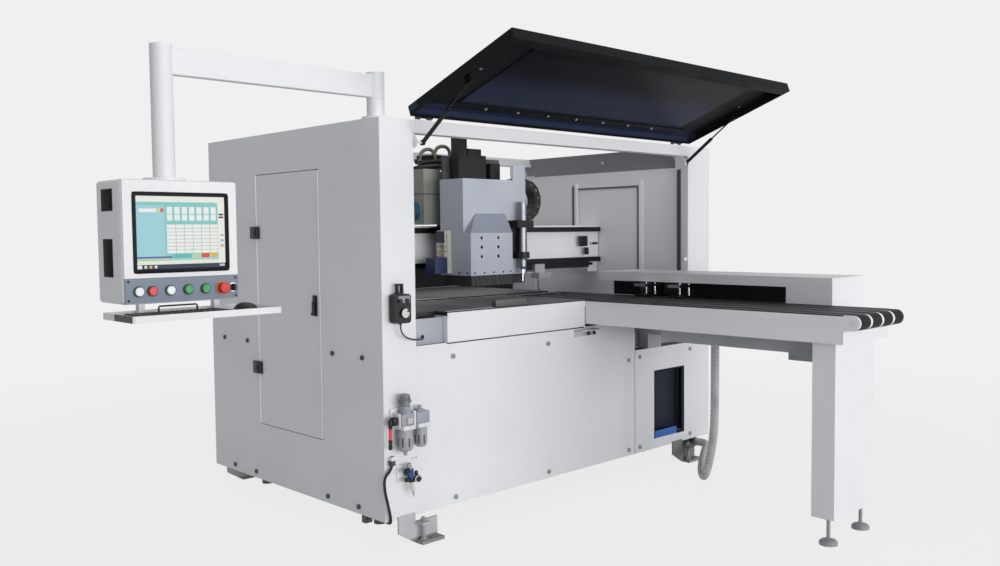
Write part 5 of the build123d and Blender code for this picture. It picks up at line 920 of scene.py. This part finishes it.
# Painted shadow: dark strips along the edges of the pressed field, and one beside the column's return, stand in
# for the shade there.
grooves = [(374, 384, 1063, 1583), (384, 852, 1573, 1583), (886, 900, 1063, 1600)]
grooves = [(2190.4, 2192.4, *sides, 0.4, 1) for sides in grooves]
grooves.append((2189.2, 2191.6, 50, 98, 1050, 1660, 0.6, 1))
piece("wall_shadow_strips", "machine", "frame_paint", WALL_PAINTED_SHADOW, boxes=grooves)
folds = []
for y0, y1, y2, y3 in ((336, 346, 368, 374), (850, 858, 876, 884)):
    outline = [(2192.2, y0, 1050), (2185.5, y1, 1050), (2185.5, y2, 1050), (2192.2, y3, 1050)]
    folds.append((outline, (0, 0, 562)))
piece("wall_ridges", "machine", "white_paint", WHITE_COAT, prisms=folds)
screws("wall_cap_screw", [((2165.2, 627, 1728), (-0.909, 0, -0.418))], "machine", KNOB_WHITE, 8, 4)
fold = (COLUMN_X, WALL_X, 0.3, 50, 1050, 1784, 1.2)
piece("column_return", "machine", "white_paint", WHITE_COAT, boxes=[fold])
ear = [(2104, 80, 1746), (2104, 46, 1748), (2104, 10, 1707), (2104, 40, 1690)]
arm = (2104, COLUMN_X, 24, 60, 1712, 1720, 1)
piece("strut_mount", "machine", "bracket_paint", BRACKET_COAT, prisms=[(ear, (6, 0, 0))], boxes=[arm])
knob = [(5, 0), (5, 4), (10, 6), (12, 11), (10, 17), (5, 20), (0, 21)]
knob = ((COLUMN_X, 16, 1149), LEFT, knob, 20)
piece("column_knob", "machine", "plastic_white", KNOB_WHITE, turned=[knob], sharp=60)

# Painted shadow lines under the apron, in the seam of the front panel and beside the infeed, and raised beads
# along the door's edges, painted as a highlight, that stop short of its hinges
# Painted shadow: dark strips stand in for the shade under the apron, in the panel seam and beside the infeed.
seam_shadows = [(347, 1256, -0.6, 0.5, 829, 834.4, 0.1, 1), (1667.4, 1670.6, -0.5, 0.5, 118, 672, 0.1, 1)]
seam_shadows.append((1255.4, 1258.2, -7.6, -6.8, 840, 938, 0.1, 1))
piece("front_panel_seam_shadows", "machine", "frame_paint", SHADED_COAT, boxes=seam_shadows)
# Painted highlight: the beads are near-white, standing in for the light caught along the door's edges.
beads = [(-3.2, 0.3, 448, 452, 398, 1594, 1.2)]
beads += [(-3.2, 0.3, 985, 989, *ends, 1.2) for ends in ((398, 638), (702, 1289), (1353, 1594))]
piece("door_highlight_beads", "door", "white_paint", DOOR_HIGHLIGHT_PAINT, boxes=beads)

# Table: a metal strip and a painted-glint strip beside the drilling gap, a painted-glint strip along the front
# edge, stop block, lips and a corner bracket
strip = (186, 1250, 546, 558, TABLE_Z, 971.6, 0.5, 1)
piece("table_strips", "machine", "aluminium", STRIP_STEEL, boxes=[strip])
# Painted highlight: pale strips along the gap and the front edge stand in for the glint of metal edges.
pale = [(186, 915, 642, 656, TABLE_Z, 972.4, 0.5, 1), (352, 640, 4, 16, TABLE_Z, 971.6, 0.5, 1)]
piece("table_glint_strips", "machine", "aluminium", PAINTED_GLINT_STRIP, boxes=pale)
piece("stop_block", "machine", "aluminium", STOP_BLOCK, boxes=[(655, 855, 8, 40, TABLE_Z, 1002, 2)])
lips = [(346.5, 1258.8, -8.8, -6.8, 938, 965.5, 0.5, 1), (1257.2, 1259.2, -1357, -8.8, 938, 964, 0.5, 1)]
piece("table_lips", "machine", "white_paint", WHITE_COAT, boxes=lips)
angle = [(1182, y, z) for y, z in ((-0.4, 788), (-4, 788), (-4, 817), (-46, 817), (-46, 823), (-0.4, 823))]
piece("corner_bracket", "machine", "bracket_paint", BRACKET_COAT, prisms=[(angle, (154, 0, 0))])
bolt = [(6, 0), (6, 12), (10, 12), (10, 20), (8, 22), (0, 22)]
bolts = [((x, -26, 817), DOWN, bolt, 6) for x in (1262, 1306)]
piece("bracket_bolts", "machine", "black_steel", BLACK_OXIDE, turned=bolts)

# Hood: bar along the hinge side with bright screws
bar = (332, 1975, 62, 104, 24, 31.9, 1.5)
piece("hood_hinge_bar", "hood", "hood_paint", HOOD_COAT, boxes=[bar], axes=HOOD_AXES)
bright = [((520 + 198.5 * i, 86, 24.2), DOWN) for i in range(7)]
bright += [((247, 370, 36.8), DOWN), ((2108, 385, 36.8), DOWN)]
screws("hood_screws", bright, "hood", SCREW_STEEL, 7, 4, axes=HOOD_AXES)

# Console: bezel and picture, stop legend, selector collar, plate screws, grilles, keyboard, mouse and wire rest
BEZEL_RINGS = ((0, 13, -18), (0, 13, -24), (-2.5, 11, -26), (-12, 4, -26), (-14, 3, -21), (-14, 3, -18))


def rounded_loop(x0, x1, z0, z1, radius, y):
    left, right, low, high = x0 + radius, x1 - radius, z0 + radius, z1 - radius
    points = []
    for cx, cz, start in ((right, high, 0), (left, high, 90), (left, low, 180), (right, low, 270)):
        for k in range(6):
            a = radians(start + 18 * k)
            points.append((cx + radius * cos(a), y, cz + radius * sin(a)))
    return points


def screen_bezel():
    bezel = Shape()
    loops = []
    for grow, radius, y in BEZEL_RINGS:
        sides = (SCREEN_X0 - grow, SCREEN_X1 + grow, SCREEN_Z0 - grow, SCREEN_Z1 + grow)
        loops.append([bezel.bm.verts.new(point) for point in rounded_loop(*sides, radius, y)])
    bezel.stack(loops, True)
    return bezel


put(screen_bezel(), "screen_bezel", "console", BEZEL_BLACK)

# Areas of the picture, each over those before it: left, right, top and bottom as shares, and a colour
TEAL, PALE_TEAL, WHITE, CREAM, LINE = "#86cfcb", "#a2d6de", "#f4f6f3", "#eef0df", "#9fb0ad"
PICTURE_X, PICTURE_Z, PICTURE_W, PICTURE_H = -1013, 1445, 316, 244
SCREEN_AREAS = [
    (0, 1, 0, 1, PALE_TEAL),
    (0, 1, 0, 0.08, "#f1f4ea"),
    (0, 0.90, 0.08, 0.13, TEAL),
    (0.31, 0.92, 0.13, 0.83, TEAL),
    (0.03, 0.22, 0.17, 0.22, WHITE),
    (0.225, 0.255, 0.17, 0.22, "#e8d88a"),
    (0.265, 0.30, 0.17, 0.22, "#e0523a"),
    (0.33, 0.915, 0.39, 0.79, WHITE),
    (0.92, 1, 0.08, 0.94, "#f3f4ee"),
    (0, 0.39, 0.83, 0.852, "#4a56b4"),
    (0, 0.37, 0.86, 0.885, "#b9d79b"),
    (0.40, 0.60, 0.80, 0.86, "#5cc3b6"),
    (0.61, 0.71, 0.80, 0.86, "#b7dca6"),
    (0.72, 0.81, 0.795, 0.858, "#e2492f"),
    (0.82, 0.905, 0.79, 0.85, "#edb33f"),
    (0, 0.92, 0.888, 0.94, CREAM),
    (0, 1, 0.94, 1, "#1d2a4c"),
    (0, 0.05, 0.945, 0.995, "#e9eef2"),
    (0.075, 0.105, 0.952, 0.99, "#dfe6ea"),
    (0.13, 0.16, 0.952, 0.99, "#e5c66a"),
    (0.185, 0.215, 0.952, 0.99, "#dfe6ea"),
    (0.93, 0.99, 0.955, 0.985, "#c9d3dc"),
    (0.93, 0.985, 0.235, 0.26, "#23282c"),
    (0.93, 0.985, 0.275, 0.30, "#23282c"),
    (0.945, 0.985, 0.53, 0.56, "#b9bcb4"),
    (0.945, 0.985, 0.60, 0.635, "#b9bcb4"),
    (0.945, 0.985, 0.67, 0.715, "#c9b9ae"),
]
for i in range(7):
    u = 0.335 + 0.0835 * i
    SCREEN_AREAS += [(u, u + 0.06, 0.145, 0.24, WHITE), (u, u + 0.06, 0.252, 0.335, WHITE)]
for i in range(1, 8):
    SCREEN_AREAS.append((0.33, 0.915, 0.39 + 0.05 * i, 0.396 + 0.05 * i, LINE))
for i in range(1, 6):
    SCREEN_AREAS.append((0.33 + 0.0975 * i, 0.335 + 0.0975 * i, 0.39, 0.79, LINE))


def screen_panel():
    verts, faces, colours = [], [], []
    for number, (u0, u1, v0, v1, code) in enumerate(SCREEN_AREAS):
        y = -20.0 - 0.02 * number
        for u, v in ((u0, v1), (u1, v1), (u1, v0), (u0, v0)):
            verts.append(spot(PICTURE_X + PICTURE_W * u, y, PICTURE_Z - PICTURE_H * v))
        faces.append(tuple(range(4 * number, 4 * number + 4)))
        colours += [tint(code)] * 4
    mesh = bpy.data.meshes.new("screen_panel")
    mesh.from_pydata(verts, [], faces)
    layer = mesh.color_attributes.new("picture", "FLOAT_COLOR", "CORNER")
    layer.data.foreach_set("color", [c for colour in colours for c in colour])
    mesh.materials.append(screen_picture())
    return mesh


settle("screen_panel", screen_panel(), "console")
legend = [(15, 0), (23, 0), (23, 2), (22, 3), (15, 3)]
legend = ((-714, CONTROL_Y, CONTROL_Z), FRONT, legend, 36, True)
piece("stop_legend", "console", "plastic_black", LEGEND_ORANGE, turned=[legend])
collar = [(13.4, 0), (16, 0), (16, 3), (15, 4), (13.4, 4)]
collar = ((-675, CONTROL_Y, CONTROL_Z), FRONT, collar, 32, True)
piece("selector_collar", "console", "chrome", RING_SILVER, turned=[collar])
corners = [((x, -25, z), FRONT) for x in (-1047, -663) for z in (1099, 1162)]
screws("plate_screws", corners, "console", BLACK_OXIDE, 4, 2)

cover = (-1063.2, -1061.8, -2, 176, 1110, 1490, 0.5, 1)
piece("console_side_cover", "console", "white_paint", WHITE_COAT, boxes=[cover])
grilles = [(-1064.2, -1062.4, *sides, 0.6) for sides in ((44, 138, 1396, 1470), (53, 132, 1175, 1303))]
piece("grille_backs", "console", "plastic_black", GRILLE_BLACK, boxes=grilles)
slats = [((-1064, 91, 1403 + 8.6 * i), LEFT, (1, 1.3, 1)) for i in range(8)]
slats += [((-1064, 92.5, 1183 + 9.3 * i), LEFT, (1, 1.1, 1)) for i in range(13)]
blocks("grille_slats", slats, "console", GRILLE_BLACK, 4.5, 64, 3, 0.8)

# Keys in six rows, as wide as the row gives, up to the right edge of the keyboard
KEY_STEP, ROW_STEP, KEYS_LEFT, KEYS_RIGHT = 21.6, 20.4, -1084.5, -757
KEY_ROWS = (
    [1] * 15,
    [1] * 13 + [2],
    [1.5] + [1] * 12 + [1.5],
    [1.75] + [1] * 11 + [2.25],
    [2.25] + [1] * 10 + [2.75],
    [1.4, 1.4, 1.4, 5.6, 1.4, 1.4, 1.2, 1.2],
)
keys = []
for row, widths in enumerate(KEY_ROWS):
    left = KEYS_LEFT
    for wide in widths:
        if left + KEY_STEP * wide > KEYS_RIGHT:
            break
        centre = (left + KEY_STEP / 2 * wide, -78 - ROW_STEP * row, 1055.8)
        keys.append((centre, UP, (wide * 1.1 - 0.1, 1, 1)))
        left += KEY_STEP * wide
blocks("keyboard_keys", keys, "console", KEY_BLACK, 18.6, 18, 6.5, 0.82)
MOUSE_AXES = Matrix.Translation((-688, -140, TRAY_Z)) @ Matrix.Diagonal((37, 57, 37, 1))
mouse = [(1, 0), (1, 0.2), (0.95, 0.45), (0.8, 0.72), (0.55, 0.9), (0.28, 0.98), (0, 1)]
mouse = ((0, 0, 0), UP, mouse, 32)
piece("mouse_shell", "console", "plastic_black", PENDANT_BLACK, turned=[mouse], sharp=60, axes=MOUSE_AXES)
rest = ((-958, TRAY_Z), (-958, 1074), (-955, 1078), (-826, 1078), (-822, 1074), (-822, TRAY_Z))
rest = ([(x, -50, z) for x, z in rest], 3, 12)
piece("tray_wire", "console", "black_steel", BLACK_OXIDE, tubes=[rest], sharp=60)

# Air preparation: filter and regulator with bowls, then the small regulator below, all on the tower front
BOWLS = ((77, -43, 33, 415, 503), (161, -42, 27, 420, 504))
KNOB_X, KNOB_Y, KNOB_R = 81, -40, 19.4
LEAN = (0.185, 0, -0.983)


def air_piece(name, slot, finish, sharp=45, **forms):
    piece(name, "machine", slot, finish, sharp=sharp, replaced=("air_service",), **forms)


bodies = [(42, 110, -66, -12, 522, 571, 4), (122, 192, -66, -12, 522, 571, 4)]
neck = [(0, 0), (25, 0), (26, 3), (26, 10), (22, 13), (22, 29), (0, 29)]
filler = [(0, 0), (17, 0), (17, 8), (9, 11), (9, 22), (6, 24), (0, 24)]
tops = [((KNOB_X, KNOB_Y, 570), UP, neck, 30), ((157, -40, 570), UP, filler, 22)]
air_piece("air_bodies", "air_grey", UNIT_GREY, boxes=bodies, turned=tops)
joints = [(110, 122, -62, -10, 514, 577, 3), (34, 42, -62, -10, 516, 575, 3)]
joints += [(46, 112, -74, -10, 502, 522, 5), (127, 195, -72, -10, 503, 522, 5)]
joints.append((192, 197, -58, -20, 524, 568, 2))
air_piece("air_joints", "air_grey", JOINT_PALE, boxes=joints)
guards, slots = [], []
for x, y, radius, low, high in BOWLS:
    tall = high - low
    guard = [(0, 0), (radius - 9, 0), (radius - 2, 7), (radius, 18)]
    guard += [(radius, tall - 5), (radius - 2, tall), (0, tall)]
    guards.append(((x, y, low), UP, guard, 32))
    for turn in (-98, -146, -188):
        a = radians(turn)
        base = (x + (radius - 2.2) * cos(a), y + (radius - 2.2) * sin(a), 434)
        slots.append((base, UP, [(2, 0), (4, 2), (4, 36), (2, 38)], 12))
drain = [(0, 0), (6, 0), (8, 4), (8, 12), (11, 14), (11, 22), (0, 22)]
guards.append(((77, -43, 394), UP, drain, 16))
air_piece("bowl_guards", "air_grey", BOWL_GREY, 50, turned=guards)
air_piece("bowl_slots", "plastic_black", PORT_NAVY, 60, turned=slots)
air_piece("gauge_case", "air_grey", UNIT_GREY, boxes=[(68, 100, -70, -65, 525, 557, 2)])
air_piece("gauge_window", "plastic_white", DIAL_PALE, boxes=[(72, 96, -71.4, -69.5, 529, 553, 1)])
plug = [(0, 0), (8, 0), (8, 14), (6, 16), (6, 20), (8.4, 22), (8.4, 36), (6, 40), (0, 40)]
fittings = [
    ((3.6, -40, 553), DOWN, [(0, 0), (6, 0), (9.4, 4), (9.4, 26), (8, 34), (8, 38), (0, 38)], 20),
    ((2.6, -40, 469), DOWN, plug, 18),
    ((196, -40, 548), RIGHT, [(0, 0), (12, 0), (12, 3.8), (0, 3.8)], 20),
    ((70, -52, 331), (0.9, 0.35, -0.1), [(0, 0), (8, 0), (10, 2), (10, 22), (0, 22)], 20),
    ((74, -46, 291), (1, 0.2, -0.1), [(0, 0), (8, 0), (9, 2), (9, 26), (0, 26)], 20),
    ((110, -36, 292), LEAN, [(0, 0), (14, 0), (14, 14), (11, 17), (0, 17)], 20),
    ((127, -48, 304), (0.1, 0, 1), [(0, 0), (7, 0), (8, 2), (8, 12), (5, 18), (0, 18)], 18),
    ((126, -66, 290), (0.3, 1, 0), [(0, 0), (15, 0), (17, 3), (17, 14), (11, 18), (11, 26), (0, 26)], 30),
    ((104, -36, 308), BACK, [(9, 0), (9, 35.8)], 18),
]
elbow = (8, 36, -56, -24, 526, 560, 6)
air_piece("air_fittings", "plastic_black", PUSH_BLACK, 50, boxes=[elbow], turned=fittings)
red_line = ([(3.6, -40, 516), (3.2, -40, 492), (2.6, -40, 468)], 6.6, 16)
air_piece("red_air_tube", "plastic_red", AIR_TUBE_RED, 60, tubes=[red_line])
cap = [(0, 0), (9.5, 0), (11, 2), (11.5, 24), (13, 26), (0, 26)]
air_piece("small_knob", "air_grey", UNIT_GREY, 50, turned=[((97, -36, 356), LEAN, cap, 20)])
barrel = [(0, 0), (15, 0), (17.5, 3), (17.5, 14), (15, 18), (15, 42), (0, 42)]
air_piece("small_regulator", "air_grey", REGULATOR_BLUE, 30, turned=[((101.6, -36, 331), LEAN, barrel, 8)])
bowl = [(0, 0), (10, 0), (10, 38), (7, 43), (0, 43)]
air_piece("small_bowl", "air_grey", DRAIN_PALE, 50, turned=[((112.6, -36, 277), LEAN, bowl, 20)])
tail = [(0, 0), (5, 0), (5, 8), (3, 14), (2.5, 24), (0, 25)]
air_piece("small_drain", "air_grey", BOWL_GREY, 50, turned=[((120, -36, 235), LEAN, tail, 14)])
rim = [(12, -1), (15, -1), (16, 1), (15, 2.4), (12.6, 2.4)]
air_piece("small_gauge_ring", "chrome", JOINT_PALE, turned=[((126, -66, 290), (-0.3, -1, 0), rim, 32, True)])
plates = [(28, 174, -12, 0, 508, 588, 2), (62, 132, -4, 0, 268, 346, 1.5)]
air_piece("air_mounting_plates", "white_paint", WHITE_COAT, boxes=plates)
pair = [((146, 0, 363), FRONT), ((166, 0, 363), FRONT)]
screws("tower_screws", pair, "machine", FASTENER_STEEL, 3.6, 2)
boot = [(0, 0), (6, 0), (7, 6), (14, 30), (15, 37), (0, 37)]
boot = ((28, -16, 394), DOWN, boot, 20)
piece("cable_boot", "machine", "plastic_black", PORT_NAVY, turned=[boot], sharp=50)
cap = [(0, 0), (19, 0), (KNOB_R, 2), (KNOB_R, 46), (17, 50), (8, 51), (0, 51)]
cap = ((KNOB_X, KNOB_Y, 599), UP, cap, 32)
piece("regulator_cap", "knob", "air_grey", KNOB_GREY, turned=[cap], sharp=50, replaced=("regulator_knob",))
ribs = []
for i in range(20):
    a = 2 * pi * i / 20
    ribs.append(((KNOB_X + KNOB_R * cos(a), KNOB_Y + KNOB_R * sin(a), 622), (cos(a), sin(a), 0)))
blocks("regulator_ribs", ribs, "knob", KNOB_GREY, 40, 3.4, 2.2, 0.7)

# Hand pendant: bare grey plate
piece("pendant_plate", "machine", "grey_paint", DRIVE_SHELL, boxes=[(50, 110, -48.5, -45.5, 1027, 1056, 1)])

# Drilling head: screws on the nose, fittings on the valve bank and cable ends in the chain
nose = [((x, 346, 1111), FRONT) for x in (834, 900, 966, 1032, 1084)]
nose += [((810, y, 1111), LEFT) for y in (372, 430, 500, 552)]
screws("nose_screws", nose, "head", BLACK_OXIDE, 4.5, 2.4)
ports = [((772.2, 512 + 6 * (i % 2), 1202 + 16 * i), LEFT) for i in range(4)]
screws("valve_ports", ports, "head", BRASS, 5, 8, 0.6)
piece("valve_cover", "head", "plastic_black", PORT_NAVY, boxes=[(770, 773, 500, 566, 1262, 1320, 1)])
CHAIN_X, CHAIN_Z, CHAIN_R = 1345, 1483, 92
ends = []
for i in range(9):
    a = radians(96 - 29 * i)
    ends.append(((CHAIN_X + CHAIN_R * cos(a), 480.2, CHAIN_Z + CHAIN_R * sin(a)), FRONT))
screws("chain_cable_ends", ends, "head", cable_ends(), 6, 2.0)

# Carriage: ribbed conduits, the end of the drive motor and a bundle of cables
short_arch = ((772, 1636), (770, 1706), (800, 1742), (858, 1748), (880, 1700), (880, 1636))
tall_arch = ((874, 1636), (876, 1722), (906, 1766), (974, 1768), (994, 1722), (994, 1600))
CONDUITS = (
    (10, [(x, 690, z) for x, z in short_arch]),
    (10, [(x, 700, z) for x, z in tall_arch]),
    (8, [(764, 676, 1650), (830, 674, 1660), (900, 676, 1672), (988, 680, 1676)]),
)
for number, (radius, points) in enumerate(CONDUITS):
    line = route("conduit_line", points, 0)
    ribbed("conduit_%d" % number, line, "carriage", CONDUIT_GREY, radius, 1.6, 7.0)
motor_end = (744, 760.5, 728, 798, 1372, 1528, 4)
piece("drive_motor_end", "carriage", "drive_plastic", REGULATOR_BLUE, boxes=[motor_end])
CABLES = (
    (664, 1650, 9),
    (688, 1654, 12),
    (716, 1652, 11),
    (740, 1649, 8),
    (674, 1676, 13),
    (704, 1684, 15),
    (692, 1706, 9),
)
bundle = []
for y, z, thick in CABLES:
    line = [(762, y, z - 6), (800, y, z), (880, y + 3, z + 6), (960, y, z + 3), (1004, y - 2, z - 8)]
    bundle.append((line, thick, 12))
piece("cable_bundle", "carriage", "cable_black", LEAD_BLACK, tubes=bundle, sharp=60)

# Beam: sensors at the right end and the dark bar under it
sensors = [(1984, 2049, 650, BEAM_Y, 1223, 1285, 3), (2030, 2062, 652, BEAM_Y, 1172, 1215, 3)]
sensors.append((2105, 2150, 654, BEAM_Y, 1232, 1246, 3))
piece("beam_sensors", "machine", "plastic_black", PUSH_BLACK, boxes=sensors)
under = [(1270, 2105, 688.7, RAIL_Y, 1094, 1127, 0.4, 1), (2105, 2128, 678, RAIL_Y, 1106, 1122, 2)]
piece("beam_under_bar", "machine", "black_steel", BLACK_OXIDE, boxes=under)

# Floor, light and camera
BACKGROUND = tint("#f0f0f0")


def plainly_seen(graph):
    """1 for what the camera sees straight, in a reflection or through glass."""
    rays = graph.add("ShaderNodeLightPath").socket.node.outputs
    kinds = ("Is Camera Ray", "Is Glossy Ray", "Is Transmission Ray")
    straight, shine, through = (Wire(graph, rays[kind]) for kind in kinds)
    return straight | shine | through


def studio_floor():
    f = Finish("studio_floor")
    paint = f.add("ShaderNodeBsdfDiffuse", None, {"Color": f.mix("#e9e9e9", "#e4e4e4", f.grain(0.8))})
    glow = f.add("ShaderNodeEmission", None, {"Color": BACKGROUND, "Strength": 1.0})
    far = f.ease(f.radius(f.x, f.y), 2.2, 6.0)
    share = plainly_seen(f) * (0.92 + far * 0.08)
    f.sink("ShaderNodeOutputMaterial", f.add("ShaderNodeMixShader", None, {0: share, 1: paint, 2: glow}))
    return f.material


floor_mesh = bpy.data.meshes.new("floor")
floor_mesh.from_pydata([(-40, -40, 0), (40, -40, 0), (40, 40, 0), (-40, 40, 0)], [], [(0, 1, 2, 3)])
floor_mesh.materials.append(studio_floor())
floor = add_object("floor", floor_mesh)

world = bpy.data.worlds.new("studio")
world.use_nodes = True
sky = Graph(world.node_tree)
sky.tree.nodes.clear()
soft = sky.add("ShaderNodeBackground", None, {"Color": (0.96, 0.98, 1.0, 1.0), "Strength": 0.33})
back = sky.add("ShaderNodeBackground", None, {"Color": BACKGROUND, "Strength": 1.0})
both = {0: plainly_seen(sky), 1: soft, 2: back}
sky.sink("ShaderNodeOutputWorld", sky.add("ShaderNodeMixShader", None, both))
bpy.context.scene.world = world


def soft_box(name, place, target, width, height, power):
    lamp = bpy.data.lights.new(name, "AREA")
    lamp.shape = "RECTANGLE"
    lamp.size = width
    lamp.size_y = height
    lamp.energy = power
    lamp.color = (1.0, 0.985, 0.97)
    box = add_object(name, lamp)
    box.location = place
    box.rotation_euler = (Vector(target) - Vector(place)).to_track_quat("-Z", "Y").to_euler()


soft_box("front_soft_box", (-0.6, -13.0, 1.75), (0.0, -0.6, 0.9), 15.0, 3.3, 1050)
soft_box("top_soft_box", (-0.8, -1.6, 5.8), (0.0, -0.4, 0.9), 4.5, 4.5, 75)

YAW, PITCH, ROLL = radians(44.08), radians(-3.12), radians(-0.56)
CAMERA_AT = (-2305, -3075, 1314)
ahead = Vector((sin(YAW) * cos(PITCH), cos(YAW) * cos(PITCH), sin(PITCH)))
level = Vector((cos(YAW), -sin(YAW), 0.0))
upward = level.cross(ahead)
right = level * cos(ROLL) + upward * sin(ROLL)
top = upward * cos(ROLL) - level * sin(ROLL)
lens = bpy.data.cameras.new("photo_camera")
lens.sensor_fit = "HORIZONTAL"
lens.sensor_width = 36.0
lens.lens = 33.73
camera = add_object("photo_camera", lens)
turned_to = Matrix((right, top, -ahead)).transposed().to_4x4()
camera.matrix_world = Matrix.Translation(spot(*CAMERA_AT)) @ turned_to
bpy.context.scene.camera = camera
bpy.context.scene.view_settings.view_transform = "Standard"

bpy.context.view_layer.update()
